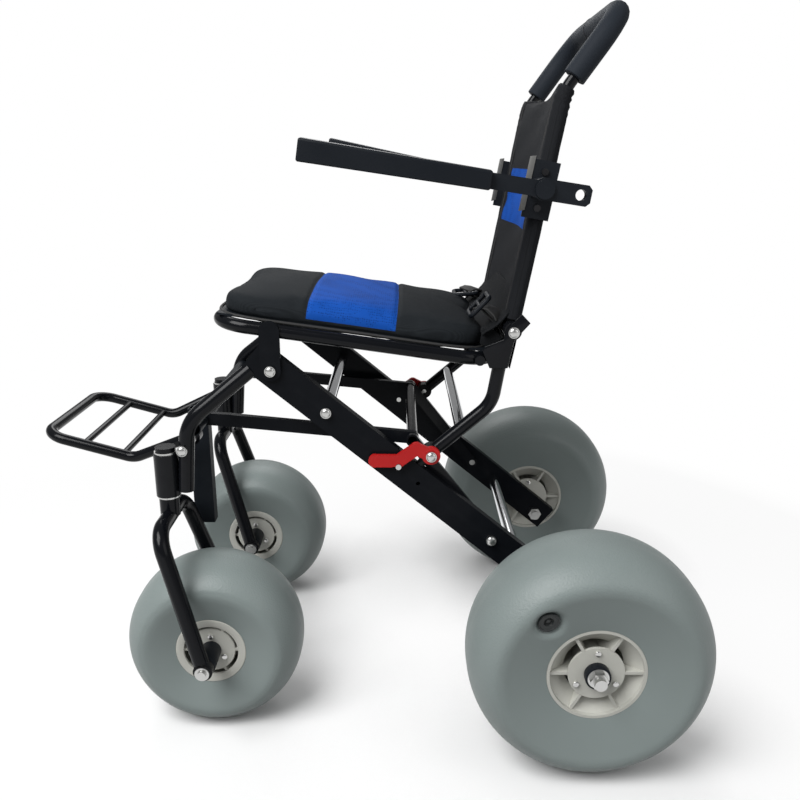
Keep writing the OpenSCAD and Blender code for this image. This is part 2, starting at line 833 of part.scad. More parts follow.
// Latch: an arched finger lever from its pivot over the pin, with a notch that is open below
module latch(side) {
    pin = [latch_pin_x, beam_z(latch_pin_x) + latch_pin_up];
    pivot = [foot_x, foot_z];
    reach = pin[0] - pivot[0];
    arch = pivot + arch_shares * reach;
    tip = pin + tip_shares * reach;
    color("#d3202a") on_side(side) difference() {
        plate_y(latch_in, latch_in + latch_t) difference() {
            union() {
                bar_2d([pivot, arch, pin + [0, latch_pin_d], tip], 2 * latch_pivot_d + latch_pin_d / 2);
                translate(pivot) circle(r = post_eye_r);
            }
            // The notch runs from the pin down and along the seat's tipping path
            polygon([
                pin + [-latch_pin_d / 2 - gap, 0], pin + [latch_pin_d, 0], pin + [reach, -reach],
                pin + [-latch_pin_d, -reach]]);
            translate(pin) circle(d = latch_pin_d + 2 * gap);
        }
        pin_y(pivot[0], pivot[1], latch_in - over, latch_in + latch_t + over, latch_pivot_d / 2 + fit);
    }
}

// Footrest

function foot_route() = [
    [foot_hinge_x, foot_y, foot_hinge_z], [foot_knee_x, foot_front_y, foot_knee_z],
    [foot_front_x, foot_front_y, foot_front_z], [foot_front_x, -foot_front_y, foot_front_z],
    [foot_knee_x, -foot_front_y, foot_knee_z], [foot_hinge_x, -foot_y, foot_hinge_z]];

module footrest_loop() {
    y0 = foot_y - foot_eye_w / 2;
    y1 = foot_y + foot_eye_w / 2;
    color("#101114") difference() {
        union() {
            bent_rod(foot_route(), foot_corner, foot_d / 2);
            both_sides() pin_y(foot_hinge_x, foot_hinge_z, y0, y1, foot_eye_d / 2);
        }
        both_sides() pin_y(foot_hinge_x, foot_hinge_z, y0 - foot_d, y1 + over, bolt_d / 2 + fit);
    }
}

module footrest_rungs() {
    knee = [foot_knee_x, foot_front_y, foot_knee_z];
    slope = (foot_front_z - foot_knee_z) / (foot_front_x - foot_knee_x);
    color("#101114") for (x = rung_x) difference() {
        pin_y(x, foot_knee_z + (x - foot_knee_x) * slope, -foot_front_y, foot_front_y, rung_d / 2);
        both_sides() rod(knee, [foot_front_x, foot_front_y, foot_front_z], foot_d / 2);
    }
}

// Casters

module fork(side) {
    foot = [wheelbase, 0, front_r];
    route = [
        foot + [0, fork_foot_y, 0], [head_x, crown_half, crown_z], [head_x, -crown_half, crown_z],
        foot + [0, -fork_foot_y, 0]];
    top = head_foot_z + head_len + bush_flange + gap;
    color("#101114") translate([0, side * side_y, 0]) difference() {
        union() {
            bent_rod(route, fork_bend, fork_d / 2);
            translate([head_x, 0, crown_z]) cylinder(h = top - crown_z, d = stem_d);
            translate([head_x, 0, crown_z])
                cylinder(h = head_foot_z - bush_flange - gap - crown_z, d = stem_cap_d);
            translate([head_x, 0, top]) cylinder(h = stem_cap_h, d = stem_cap_d);
            both_sides() pin_y(foot[0], foot[2], fork_foot_y - fork_eye_w / 2, fork_foot_y + fork_eye_w / 2,
                fork_eye_d / 2);
        }
        pin_y(foot[0], foot[2], -2 * fork_foot_y, 2 * fork_foot_y, caster_axle_d / 2);
        both_sides() pin_y(foot[0], foot[2], fork_foot_y + fork_eye_w / 2, 2 * fork_foot_y, fork_eye_d / 2);
        both_sides() pin_y(foot[0], foot[2], 0, fork_foot_y - fork_eye_w / 2, fork_eye_d / 2);
    }
}

module caster_axle(side) {
    face = fork_foot_y + fork_eye_w / 2;
    color("silver") translate([0, side * side_y, 0]) {
        pin_y(wheelbase, front_r, -face - bolt_head_t, face + bolt_head_t + tip_len / 2, caster_axle_d / 2);
        both_sides() {
            pin_y(wheelbase, front_r, face, face + bolt_head_t, nut_d / 2 - over);
            pin_y(wheelbase, front_r, front_rim_face + gap, face - fork_eye_w, caster_axle_d);
        }
    }
}

// Wheels, drawn about their own middle

tyre_power = 2.6;
tyre_steps = 22;
tyre_swell_share = 1.14;
dish_span_share = 0.6;

// A tyre's section from rim to rim over the tread: radius and distance from the middle plane.
// A full curve of the power form, dished beside the rim so that it ends on the rim's edge.
function bulge(t, w) = w * tyre_swell_share * pow(abs(cos(t)), 2 / tyre_power);
function near_rim(r, rim) = pow(max(0, 1 - (r - rim) / (rim * dish_span_share)), 2);
function section(radius, w, rim, edge) = let (
    t0 = asin(pow(rim / radius, tyre_power / 2)),
    dish = bulge(t0, w) - edge)
    [for (i = [0:tyre_steps]) let (
        t = t0 + (180 - 2 * t0) * i / tyre_steps,
        r = max(rim, radius * pow(sin(t), 2 / tyre_power)))
        [r, sign(cos(t)) * (bulge(t, w) - dish * near_rim(r, rim))]];

module tyre(radius, w, rim, edge) {
    outer = section(radius, w, rim, edge);
    inner = section(radius - tyre_wall, w - tyre_wall, rim, edge - tyre_wall);
    rotate([90, 0, 0])
        rotate_extrude($fn = 120)
            polygon(concat(outer, [for (i = [tyre_steps:-1:0]) inner[i]]));
}

rim_wall = 4;
hub_boss_d = 46;
rib_t = 4;
web_t = 6;
disc_d_share = 0.565;
disc_t = 4;
screw_d = 7;
disc_screws = 3;

module hub(rim, face, bore) {
    r = rim - gap;
    difference() {
        union() {
            difference() {
                rotate([90, 0, 0]) cylinder(h = 2 * face, r = r, center = true);
                rotate([90, 0, 0]) cylinder(h = 2 * face + over, r = r - rim_wall, center = true);
            }
            rotate([90, 0, 0]) cylinder(h = web_t, r = r - rim_wall / 2, center = true);
            rotate([90, 0, 0]) cylinder(h = 2 * (face - 2 * disc_t), d = hub_boss_d, center = true);
            for (i = [0:hub_ribs - 1]) rotate([0, i * 360 / hub_ribs, 0])
                translate([0, disc_t - face, -rib_t / 2])
                    cube([r - rim_wall / 2, 2 * (face - disc_t), rib_t]);
        }
        for (end = [0, 1]) mirror([0, end, 0]) translate([0, face, 0]) rotate([90, 0, 0])
            cylinder(h = 2 * disc_t, r = rim * disc_d_share + gap);
        rotate([90, 0, 0]) cylinder(h = 2 * face + over, r = bore / 2 + fit, center = true);
    }
}

module hub_discs(rim, face, bore) {
    for (end = [0, 1]) mirror([0, end, 0]) difference() {
        union() {
            plate_y(face - 2 * disc_t, face - disc_t) circle(r = rim * disc_d_share);
            for (i = [0:disc_screws - 1]) rotate([0, i * 360 / disc_screws, 0])
                pin_y(
                    0, rim * disc_d_share - screw_d, face - disc_t, face - disc_t + screw_d / 3, screw_d / 2);
        }
        pin_y(0, 0, 0, face + over, bore / 2 + fit);
    }
}

module at_front(side) {
    translate([wheelbase, side * side_y, front_r]) children();
}

module at_rear(side) {
    translate([0, side * rear_track / 2, rear_r]) children();
}

module front_tyre(side) {
    color("#767d7f") at_front(side) tyre(front_r, front_w / 2, front_rim_d / 2, front_rim_face);
}

module front_hub(side) {
    color("#bfbfb6") at_front(side) hub(front_rim_d / 2, front_rim_face, caster_axle_d);
}

module front_discs(side) {
    color("#c9c9c2") at_front(side) hub_discs(front_rim_d / 2, front_rim_face, caster_axle_d);
}

module rear_tyre(side) {
    color("#767d7f") at_rear(side) tyre(rear_r, rear_w / 2, rear_rim_d / 2, rear_rim_face);
}

module rear_hub(side) {
    color("#bfbfb6") at_rear(side) hub(rear_rim_d / 2, rear_rim_face, rear_axle_d);
}

module rear_discs(side) {
    color("#c9c9c2") at_rear(side) hub_discs(rear_rim_d / 2, rear_rim_face, rear_axle_d);
}

place() main_beam(1);  // main_beam_left
place() main_beam(-1);  // main_beam_right
place() front_tube(1);  // front_tube_left
place() front_tube(-1);  // front_tube_right
place() head_tube(1);  // head_tube_left
place() head_tube(-1);  // head_tube_right
place() head_bushes();
place() side_brace(1);  // side_brace_left
place() side_brace(-1);  // side_brace_right
place() rear_strut(1);  // rear_strut_left
place() rear_strut(-1);  // rear_strut_right
place() cross_bar();
place() front_cross_tube();
place() front_leg();
place() bright_cross_tubes();
place() rear_axles();
place() axle_nuts();
place() frame_bolts();
place() latch_pins();
place() rest_bumpers();
place() seat_loop();
place() seat_lugs();
place() seat_board();
place() seat_cushion();
place() back_post(1);  // back_post_left
place() back_post(-1);  // back_post_right
place() hinge_plates();
place() back_cross_tube();
place() seat_bolts();
place() lap_belt();
place() belt_buckle();
place() back_frame();
place() handle_foam();
place() back_sleeve();
place() arm_brackets();
place() bracket_screws();
place() arm_bar(1);  // arm_bar_left
place() arm_pad(1);  // arm_pad_left
place() arm_bar(-1);  // arm_bar_right
place() arm_pad(-1);  // arm_pad_right
place() latch(1);  // latch_left
place() latch(-1);  // latch_right
place() footrest_loop();
place() footrest_rungs();
place() fork(1);  // fork_left
place() fork(-1);  // fork_right
place() caster_axle(1);  // caster_axle_left
place() caster_axle(-1);  // caster_axle_right
place() front_tyre(1);  // front_tyre_left
place() front_tyre(-1);  // front_tyre_right
place() front_hub(1);  // front_hub_left
place() front_hub(-1);  // front_hub_right
place() front_discs(1);  // front_discs_left
place() front_discs(-1);  // front_discs_right
place() rear_tyre(1);  // rear_tyre_left
place() rear_tyre(-1);  // rear_tyre_right
place() rear_hub(1);  // rear_hub_left
place() rear_hub(-1);  // rear_hub_right
place() rear_discs(1);  // rear_discs_left
place() rear_discs(-1);  // rear_discs_right
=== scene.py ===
"""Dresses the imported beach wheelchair: finishes for its frame, and modelled tyres, pads and straps."""

import logging
import math
from contextlib import contextmanager
from dataclasses import dataclass, field
from enum import Enum
from functools import cache
from typing import Callable, ClassVar, Iterator, Sequence

import bpy
import numpy as np
from mathutils import Matrix, Vector


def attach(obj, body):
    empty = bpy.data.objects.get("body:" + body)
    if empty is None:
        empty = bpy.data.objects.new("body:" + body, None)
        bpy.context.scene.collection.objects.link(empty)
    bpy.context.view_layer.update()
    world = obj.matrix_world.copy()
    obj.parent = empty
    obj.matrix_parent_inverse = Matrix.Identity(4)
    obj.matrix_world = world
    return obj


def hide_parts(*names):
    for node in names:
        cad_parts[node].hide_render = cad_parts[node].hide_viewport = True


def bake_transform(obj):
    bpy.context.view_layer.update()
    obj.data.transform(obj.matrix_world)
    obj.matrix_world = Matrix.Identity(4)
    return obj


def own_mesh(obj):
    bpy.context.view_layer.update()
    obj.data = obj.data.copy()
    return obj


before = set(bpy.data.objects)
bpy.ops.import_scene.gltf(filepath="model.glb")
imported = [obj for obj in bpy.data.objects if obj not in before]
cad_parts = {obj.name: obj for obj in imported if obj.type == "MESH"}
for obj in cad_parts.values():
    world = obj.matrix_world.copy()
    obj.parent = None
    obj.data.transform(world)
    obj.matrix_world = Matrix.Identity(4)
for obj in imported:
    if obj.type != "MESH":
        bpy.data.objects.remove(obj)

LOG = logging.getLogger("beach_wheelchair")
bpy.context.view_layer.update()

Piece = bpy.types.Object
Socket = bpy.types.NodeSocket
Group = bpy.types.ShaderNodeTree
Pair = tuple[float, float]
Point = tuple[float, float, float]
Colour = tuple[float, float, float]
Outline = tuple[Pair, ...]

# Places in the frame, in metres

REAR_AXLE_X = -0.3125
FRONT_AXLE_X = REAR_AXLE_X + 0.525
REAR_WHEEL_Y, FRONT_WHEEL_Y = 0.290, 0.187
REAR_RADIUS, FRONT_RADIUS = 0.165, 0.127
SEAT_FALL = math.radians(8.1)
BACK_LEAN = math.radians(10.4)
SEAT_ORIGIN = Vector((-0.18575, 0.0, 0.53702))
BACK_ORIGIN = Vector((-0.2115, 0.0, 0.580))
SEAT_FRAME = Matrix.Translation(SEAT_ORIGIN) @ Matrix.Rotation(-SEAT_FALL, 4, "Y")
BACK_FRAME = Matrix.Translation(BACK_ORIGIN) @ Matrix.Rotation(-BACK_LEAN, 4, "Y")
SEAT_PANEL, SEAT_PANEL_HALF = (0.138, 0.262), 0.159
BACK_PANEL, BACK_PANEL_HALF = (0.132, 0.214), 0.118


class Side(Enum):
    """The chair's two sides, as the sign of Y."""

    LEFT = 1
    RIGHT = -1

    @property
    def word(self) -> str:
        """The side's name in the frame."""
        return self.name.lower()

    @property
    def index(self) -> int:
        """The side's place in a pair of values, left first."""
        return (1 - self.value) // 2


class Axle(Enum):
    """The chair's two pairs of wheels."""

    REAR = "rear"
    FRONT = "front"


class Pattern(Enum):
    """What roughens a surface; a weave gives the axes that its threads step along."""

    GRAIN = ()
    WEAVE = ("X", "Y")
    HUNG_WEAVE = ("Y", "Z")


def ridge(away: np.ndarray, width: float) -> np.ndarray:
    """A rounded line: 1 where a distance is nought, fading over a width."""
    return np.exp(-((away / width) ** 2))


def ramp(value: np.ndarray, width: float) -> np.ndarray:
    """Rises from 0 to 1 over a width and stays there."""
    return np.clip(value / width, 0, 1)


# Modelling


class Bench:
    """Modelling moves that every piece shares."""

    @staticmethod
    def clear() -> None:
        """Leaves object mode with nothing selected."""
        if bpy.context.object and bpy.context.object.mode != "OBJECT":
            bpy.ops.object.mode_set(mode="OBJECT")
        bpy.ops.object.select_all(action="DESELECT")

    @staticmethod
    def pick(piece: Piece) -> None:
        """Makes a piece the only selected and active one.

        Args:
            piece: The piece.
        """
        Bench.clear()
        piece.select_set(True)
        bpy.context.view_layer.objects.active = piece

    @staticmethod
    def named(name: str) -> Piece:
        """Names the active object and its mesh.

        Args:
            name: The name of both.

        Returns:
            The active object.
        """
        piece = bpy.context.object
        piece.name = name
        piece.data.name = name
        return piece

    @staticmethod
    def settle(piece: Piece) -> Piece:
        """Puts a piece's place into its mesh.

        Args:
            piece: The piece.

        Returns:
            The piece.
        """
        Bench.pick(piece)
        bpy.ops.object.transform_apply(location=True, rotation=True, scale=True)
        return piece

    @staticmethod
    @contextmanager
    def editing(piece: Piece) -> Iterator[None]:
        """Holds a piece in edit mode with all of it selected, then goes back to object mode.

        Args:
            piece: The piece.

        Returns:
            A context that lasts while the piece is edited.
        """
        Bench.pick(piece)
        bpy.ops.object.mode_set(mode="EDIT")
        bpy.ops.mesh.select_all(action="SELECT")
        yield
        bpy.ops.object.mode_set(mode="OBJECT")

    @staticmethod
    def choose(piece: Piece, kind: str, test: Callable[[object], bool]) -> None:
        """Selects the faces or points that pass a test.

        Args:
            piece: The piece, which is left in edit mode.
            kind: FACE or VERT, as Blender's select mode has it.
            test: Takes a face or a point.
        """
        with Bench.editing(piece):
            bpy.ops.mesh.select_mode(type=kind)
            bpy.ops.mesh.select_all(action="DESELECT")
        for part in piece.data.polygons if kind == "FACE" else piece.data.vertices:
            part.select = test(part)
        bpy.ops.object.mode_set(mode="EDIT")

    @staticmethod
    def modify(piece: Piece, kind: str, **settings: object) -> Piece:
        """Applies a modifier.

        Args:
            piece: The piece.
            kind: The modifier's type.
            **settings: Its settings by attribute name.

        Returns:
            The piece.
        """
        Bench.pick(piece)
        tool = piece.modifiers.new(kind.lower(), kind)
        for key, value in settings.items():
            setattr(tool, key, value)
        bpy.ops.object.modifier_apply(modifier=tool.name)
        return piece

    @staticmethod
    def bevel(piece: Piece, width: float, segments: int = 3, angle: float = 35) -> Piece:
        """Rounds a piece's edges.

        Args:
            piece: The piece.
            width: The rounding's width.
            segments: Its steps.
            angle: The least angle of an edge that is rounded, in degrees.

        Returns:
            The piece.
        """
        limit = math.radians(angle)
        return Bench.modify(piece, "BEVEL", width=width, segments=segments, limit_method="ANGLE", angle_limit=limit)

    @staticmethod
    def refine(piece: Piece, levels: int) -> Piece:
        """Subdivides a piece's surface smoothly."""
        return Bench.modify(piece, "SUBSURF", levels=levels, render_levels=levels)

    @staticmethod
    def smooth(piece: Piece, angle: float = 40) -> Piece:
        """Shades a piece smooth.

        Args:
            piece: The piece.
            angle: The sharpest angle that is smoothed, in degrees.

        Returns:
            The piece.
        """
        Bench.pick(piece)
        bpy.ops.object.shade_smooth_by_angle(angle=math.radians(angle))
        return piece

    @staticmethod
    def mend(piece: Piece) -> Piece:
        """Merges doubled points and turns all faces outwards.

        Args:
            piece: The piece.

        Returns:
            The piece.
        """
        with Bench.editing(piece):
            bpy.ops.mesh.remove_doubles(threshold=1e-5)
            bpy.ops.mesh.normals_make_consistent(inside=False)
        return piece

    @staticmethod
    def join(name: str, pieces: list[Piece]) -> Piece:
        """Joins pieces into one.

        Args:
            name: The joined piece's name.
            pieces: What is joined.

        Returns:
            The joined piece.
        """
        Bench.clear()
        for piece in pieces:
            piece.select_set(True)
        bpy.context.view_layer.objects.active = pieces[0]
        bpy.ops.object.join()
        return Bench.named(name)

    @staticmethod
    def points(piece: Piece) -> np.ndarray:
        """Reads a piece's points.

        Args:
            piece: The piece.

        Returns:
            Its points, one to a row.
        """
        flat = np.zeros(len(piece.data.vertices) * 3)
        piece.data.vertices.foreach_get("co", flat)
        return flat.reshape(-1, 3)

    @staticmethod
    def set_points(piece: Piece, points: np.ndarray) -> None:
        """Moves a piece's points to those of an array."""
        piece.data.vertices.foreach_set("co", points.astype(np.float32).ravel())
        piece.data.update()

    @staticmethod
    def place(piece: Piece, matrix: Matrix) -> Piece:
        """Moves a piece's mesh.

        Args:
            piece: The piece.
            matrix: The move.

        Returns:
            The piece.
        """
        piece.data.transform(matrix)
        piece.data.update()
        return piece

    @staticmethod
    def box(name: str, size: Point, cuts: int, place: Point = (0, 0, 0)) -> Piece:
        """Adds a box with finely cut sides.

        Args:
            name: The piece's name.
            size: Its three sides, in metres.
            cuts: How many cuts each side gets.
            place: Its middle.

        Returns:
            The new piece, with its place in its mesh.
        """
        Bench.clear()
        bpy.ops.mesh.primitive_cube_add(size=1, location=place)
        piece = Bench.named(name)
        piece.scale = size
        Bench.settle(piece)
        with Bench.editing(piece):
            bpy.ops.mesh.subdivide(number_cuts=cuts)
        return piece

    @staticmethod
    def drum(name: str, radius: float, depth: float, place: Point) -> Piece:
        """Adds a short cylinder that lies along Y.

        Args:
            name: The piece's name.
            radius: Its radius.
            depth: Its length along Y.
            place: Its middle.

        Returns:
            The new piece, with its place in its mesh.
        """
        Bench.clear()
        bpy.ops.mesh.primitive_cylinder_add(
            vertices=48, radius=radius, depth=depth, location=place, rotation=(math.pi / 2, 0, 0)
        )
        return Bench.settle(Bench.named(name))

    @staticmethod
    def dome(name: str, radius: float, height: float, place: Point) -> Piece:
        """Adds a low dome that stands out along Y on both sides of its place.

        Args:
            name: The piece's name.
            radius: Its radius.
            height: How far it stands out.
            place: Its middle.

        Returns:
            The new piece, with its place in its mesh.
        """
        Bench.clear()
        bpy.ops.mesh.primitive_uv_sphere_add(segments=32, ring_count=16, radius=1, location=place)
        piece = Bench.named(name)
        piece.scale = (radius, height, radius)
        return Bench.settle(piece)

    @staticmethod
    def tube(name: str, route: list[Vector], radius: float, closed: bool = False) -> Piece:
        """Makes a round cord along a route.

        Args:
            name: The piece's name.
            route: The points that it follows.
            radius: Its radius.
            closed: Whether its end meets its start.

        Returns:
            The new piece, as a mesh.
        """
        Bench.clear()
        bpy.ops.curve.primitive_nurbs_path_add()
        piece = Bench.named(name)
        curve = piece.data
        curve.splines.clear()
        line = curve.splines.new("POLY")
        line.points.add(len(route) - 1)
        for spot, where in zip(line.points, route):
            spot.co = (*where, 1)
        line.use_cyclic_u = closed
        curve.dimensions, curve.bevel_depth, curve.bevel_resolution = "3D", radius, 6
        curve.use_fill_caps = not closed
        Bench.pick(piece)
        bpy.ops.object.convert(target="MESH")
        return Bench.smooth(Bench.mend(Bench.settle(piece)), 50)

    @staticmethod
    def spun(name: str, loop: Sequence[Pair], steps: int = 160) -> Piece:
        """Spins a closed section about Y.

        Args:
            name: The piece's name.
            loop: The section's points, as radius and place along Y.
            steps: How many steps make the turn.

        Returns:
            The new piece.
        """
        Bench.clear()
        bpy.ops.mesh.primitive_circle_add(vertices=len(loop), radius=1)
        piece = Bench.named(name)
        for spot, (r, y) in zip(piece.data.vertices, loop):
            spot.co = (r, y, 0)
        with Bench.editing(piece):
            bpy.ops.mesh.spin(steps=steps, angle=2 * math.pi, center=(0, 0, 0), axis=(0, 1, 0))
        return Bench.mend(piece)

    @staticmethod
    def plate(name: str, outline: Sequence[Pair], inner: float, thick: float) -> Piece:
        """Cuts a flat plate that stands square to Y.

        Args:
            name: The piece's name.
            outline: Its corners, as X and Z.
            inner: Where its first face is along Y.
            thick: How far it goes on from there, with its sign.

        Returns:
            The new piece, with rounded edges.
        """
        Bench.clear()
        bpy.ops.mesh.primitive_circle_add(vertices=len(outline), radius=1, fill_type="NGON")
        piece = Bench.named(name)
        for spot, (x, z) in zip(piece.data.vertices, outline):
            spot.co = (x, inner, z)
        with Bench.editing(piece):
            bpy.ops.mesh.extrude_region_move(TRANSFORM_OT_translate={"value": (0, thick, 0)})
        return Bench.smooth(Bench.bevel(Bench.mend(piece), abs(thick) * 0.25, 2, 30))

    @staticmethod
    def strap(name: str, route: list[Vector], across: Vector, thick: float) -> Piece:
        """Draws a flat strap out of one edge, run by run.

        Args:
            name: The piece's name.
            route: The middle of the strap, point by point.
            across: The strap's width as a vector.
            thick: Its thickness.

        Returns:
            The new piece.
        """
        Bench.clear()
        bpy.ops.mesh.primitive_plane_add(size=1)
        piece = Bench.named(name)
        half = across / 2
        corners = [end + way * half for end in route[:2] for way in (-1, 1)]
        for spot, where in zip(piece.data.vertices, corners):
            spot.co = where
        for last, here in zip(route[1:], route[2:]):
            ends = (last - half, last + half)
            Bench.choose(piece, "VERT", lambda spot: min((spot.co - end).length for end in ends) < 1e-5)
            bpy.ops.mesh.select_mode(type="EDGE")
            bpy.ops.mesh.extrude_edges_move(TRANSFORM_OT_translate={"value": here - last})
            bpy.ops.object.mode_set(mode="OBJECT")
        Bench.modify(Bench.mend(piece), "SOLIDIFY", thickness=thick, offset=0)
        return Bench.smooth(Bench.bevel(piece, thick * 0.4, 2), 50)


# Finishes


class Tree:
    """A material's or a group's nodes, written briefly."""

    def __init__(self, nodes: bpy.types.NodeTree) -> None:
        """Keeps the tree that the nodes go into."""
        self.tree = nodes

    def add(self, kind: str, feeds: dict[str | int, object] | None = None, **values: object) -> bpy.types.Node:
        """Adds a node.

        Args:
            kind: Its type.
            feeds: What its sockets get.
            **values: Its settings by attribute name.

        Returns:
            The node.
        """
        node = self.tree.nodes.new(kind)
        for key, value in values.items():
            setattr(node, key, value)
        self.feed(node, feeds or {})
        return node

    def feed(self, node: bpy.types.Node, feeds: dict[str | int, object]) -> None:
        """Links a node's sockets to their sources, or sets them to constants.

        Args:
            node: The node.
            feeds: A source or a constant for each socket.
        """
        for socket, source in feeds.items():
            if isinstance(source, Socket):
                self.tree.links.new(source, node.inputs[socket])
            else:
                node.inputs[socket].default_value = source

    def effect(self, group: Group, feeds: dict[str | int, object]) -> bpy.types.Node:
        """Places an effect's node group with its own values."""
        return self.add("ShaderNodeGroup", feeds, node_tree=group)

    def math(self, operation: str, first: object, second: object) -> Socket:
        """Adds a Math node and returns its value."""
        return self.add("ShaderNodeMath", {0: first, 1: second}, operation=operation).outputs[0]

    def mix(self, share: object, first: object, second: object) -> Socket:
        """Adds a colour mix and returns its colour."""
        one, two = (end if isinstance(end, Socket) else (*end, 1) for end in (first, second))
        return self.add("ShaderNodeMix", {"Factor": share, 6: one, 7: two}, data_type="RGBA").outputs[2]

    def span(self, value: object, low: float, high: float) -> Socket:
        """Spreads a value of 0 to 1 over a range."""
        return self.add("ShaderNodeMapRange", {"Value": value, "To Min": low, "To Max": high}).outputs[0]

    def step(self, feeds: dict[str | int, object]) -> Socket:
        """Adds a range with soft ends and returns its value."""
        return self.add("ShaderNodeMapRange", feeds, interpolation_type="SMOOTHSTEP").outputs[0]


class Effects:
    """Node groups that more than one finish uses, each built once."""

    @staticmethod
    def start(
        name: str, inputs: dict[str, float], outputs: tuple[str, ...]
    ) -> tuple[Tree, bpy.types.bpy_prop_collection, bpy.types.Node]:
        """Opens a group with named sockets.

        Args:
            name: The group's name.
            inputs: Its inputs with their defaults, beside a vector.
            outputs: Its outputs.

        Returns:
            The tree, what is given to it, and its output node.
        """
        group = bpy.data.node_groups.new(name, "ShaderNodeTree")
        group.interface.new_socket("Vector", in_out="INPUT", socket_type="NodeSocketVector")
        for key, value in inputs.items():
            socket = group.interface.new_socket(key, in_out="INPUT", socket_type="NodeSocketFloat")
            socket.default_value = value
        for key in outputs:
            group.interface.new_socket(key, in_out="OUTPUT", socket_type="NodeSocketFloat")
        tree = Tree(group)
        return tree, tree.add("NodeGroupInput").outputs, tree.add("NodeGroupOutput")

    @staticmethod
    @cache
    def grain() -> Group:
        """Fine grain over slow blotches.

        Returns:
            The group.
        """
        tree, given, end = Effects.start("grain", {"Scale": 400.0, "Blotch": 14.0}, ("Height", "Mask"))
        for size, detail, output in (("Scale", 2.0, "Height"), ("Blotch", 5.0, "Mask")):
            noise = tree.add("ShaderNodeTexNoise", {"Vector": given["Vector"], "Scale": given[size], "Detail": detail})
            tree.feed(end, {output: noise.outputs[0]})
        return tree.tree

    @staticmethod
    @cache
    def weave(pattern: Pattern) -> Group:
        """Crossing threads: over and under by turns.

        Args:
            pattern: The weave.

        Returns:
            The group.
        """
        tree, given, end = Effects.start(pattern.name.lower(), {"Scale": 200.0}, ("Height", "Mask"))
        feeds = {"Vector": given["Vector"], "Scale": given["Scale"], "Distortion": 0.6}
        waves = [tree.add("ShaderNodeTexWave", feeds, bands_direction=axis).outputs["Fac"] for axis in pattern.value]
        tree.feed(end, {"Height": tree.math("MAXIMUM", *waves), "Mask": tree.math("MULTIPLY", *waves)})
        return tree.tree

    @staticmethod
    @cache
    def mesh() -> Group:
        """Open knit: round eyes between threads.

        Returns:
            The group.
        """
        tree, given, end = Effects.start("mesh", {"Scale": 300.0}, ("Height", "Mask"))
        feeds = {"Vector": given["Vector"], "Scale": given["Scale"], "Randomness": 0.35}
        away = tree.add("ShaderNodeTexVoronoi", feeds, distance="EUCLIDEAN").outputs["Distance"]
        tree.feed(end, {"Height": away, "Mask": tree.math("LESS_THAN", away, 0.3)})
        return tree.tree

    @staticmethod
    @cache
    def wear() -> Group:
        """Where edges stand out, broken by noise.

        Returns:
            The group.
        """
        tree, given, end = Effects.start("wear", {"Amount": 0.5}, ("Mask",))
        shape = tree.add("ShaderNodeNewGeometry")
        noise = tree.add("ShaderNodeTexNoise", {"Vector": given["Vector"], "Scale": 60.0})
        edge = tree.math("MULTIPLY", tree.math("SUBTRACT", shape.outputs["Pointiness"], 0.5), 6.0)
        broken = tree.math("MULTIPLY", tree.math("MAXIMUM", edge, 0.0), noise.outputs[0])
        tree.feed(end, {"Mask": tree.math("MULTIPLY", broken, given["Amount"])})
        return tree.tree


@dataclass(frozen=True)
class Finish:
    """One material: its colours, gloss and the relief of its surface."""

    name: str
    base: Colour
    other: Colour
    rough: Pair
    metallic: float = 0.0
    specular: float = 0.5
    pattern: Pattern = Pattern.GRAIN
    scale: float = 900.0
    relief: float = 0.05
    depth: float = 0.0004
    wear: float = 0.0
    turn: float = 0.0
    tread: str = ""
    gap_shade: float = 0.35
    gap_share: float = 0.7
    worn: Pair = (3.0, 0.05)

    def material(self) -> bpy.types.Material:
        """The finish as a material, made once."""
        return bpy.data.materials.get(self.name) or self.build()

    def let_in(self, tree: Tree, coords: Socket, colour: Socket, height: Socket) -> tuple[Socket, Socket]:
        """Changes the colour and height where a finish has more than one cloth; a plain one keeps them.

        Args:
            tree: The material's nodes.
            coords: The turned Object coordinates.
            colour: The plain surface's colour.
            height: The plain surface's height.

        Returns:
            The colour and the height, as sockets.
        """
        return colour, height

    def build(self) -> bpy.types.Material:
        """Makes the material.

        Returns:
            The new material.
        """
        material = bpy.data.materials.new(self.name)
        material.use_nodes = True
        tree = Tree(material.node_tree)
        coords = tree.add("ShaderNodeTexCoord").outputs["Object"]
        if self.turn:
            coords = tree.add("ShaderNodeMapping", {"Vector": coords, "Rotation": (0.0, self.turn, 0.0)}).outputs[0]
        woven = self.pattern is not Pattern.GRAIN
        group = Effects.weave(self.pattern) if woven else Effects.grain()
        surface = tree.effect(group, {"Vector": coords, "Scale": self.scale})
        blotch = tree.effect(Effects.grain(), {"Vector": coords}) if woven else surface
        mask, height = blotch.outputs["Mask"], surface.outputs["Height"]
        colour = tree.mix(tree.span(mask, 0.1, 0.9), self.base, self.other)
        if woven:
            gaps = tree.math("MULTIPLY", surface.outputs["Mask"], self.gap_share)
            colour = tree.mix(gaps, colour, tuple(c * self.gap_shade for c in self.base))
        if self.wear:
            edges = tree.effect(Effects.wear(), {"Vector": coords, "Amount": self.wear}).outputs["Mask"]
            gain, lift = self.worn
            colour = tree.mix(edges, colour, tuple(min(1, c * gain + lift) for c in self.base))
        if self.tread:
            where = tree.add("ShaderNodeAttribute", attribute_name=self.tread)
            height = tree.math("MULTIPLY", height, where.outputs["Fac"])
        colour, height = self.let_in(tree, coords, colour, height)
        bump = tree.add("ShaderNodeBump", {"Strength": self.relief, "Distance": self.depth, "Height": height})
        tree.feed(material.node_tree.nodes["Principled BSDF"], {
            "Base Color": colour, "Roughness": tree.span(mask, *self.rough), "Metallic": self.metallic,
            "Specular IOR Level": self.specular, "Normal": bump.outputs[0],
        })
        return material


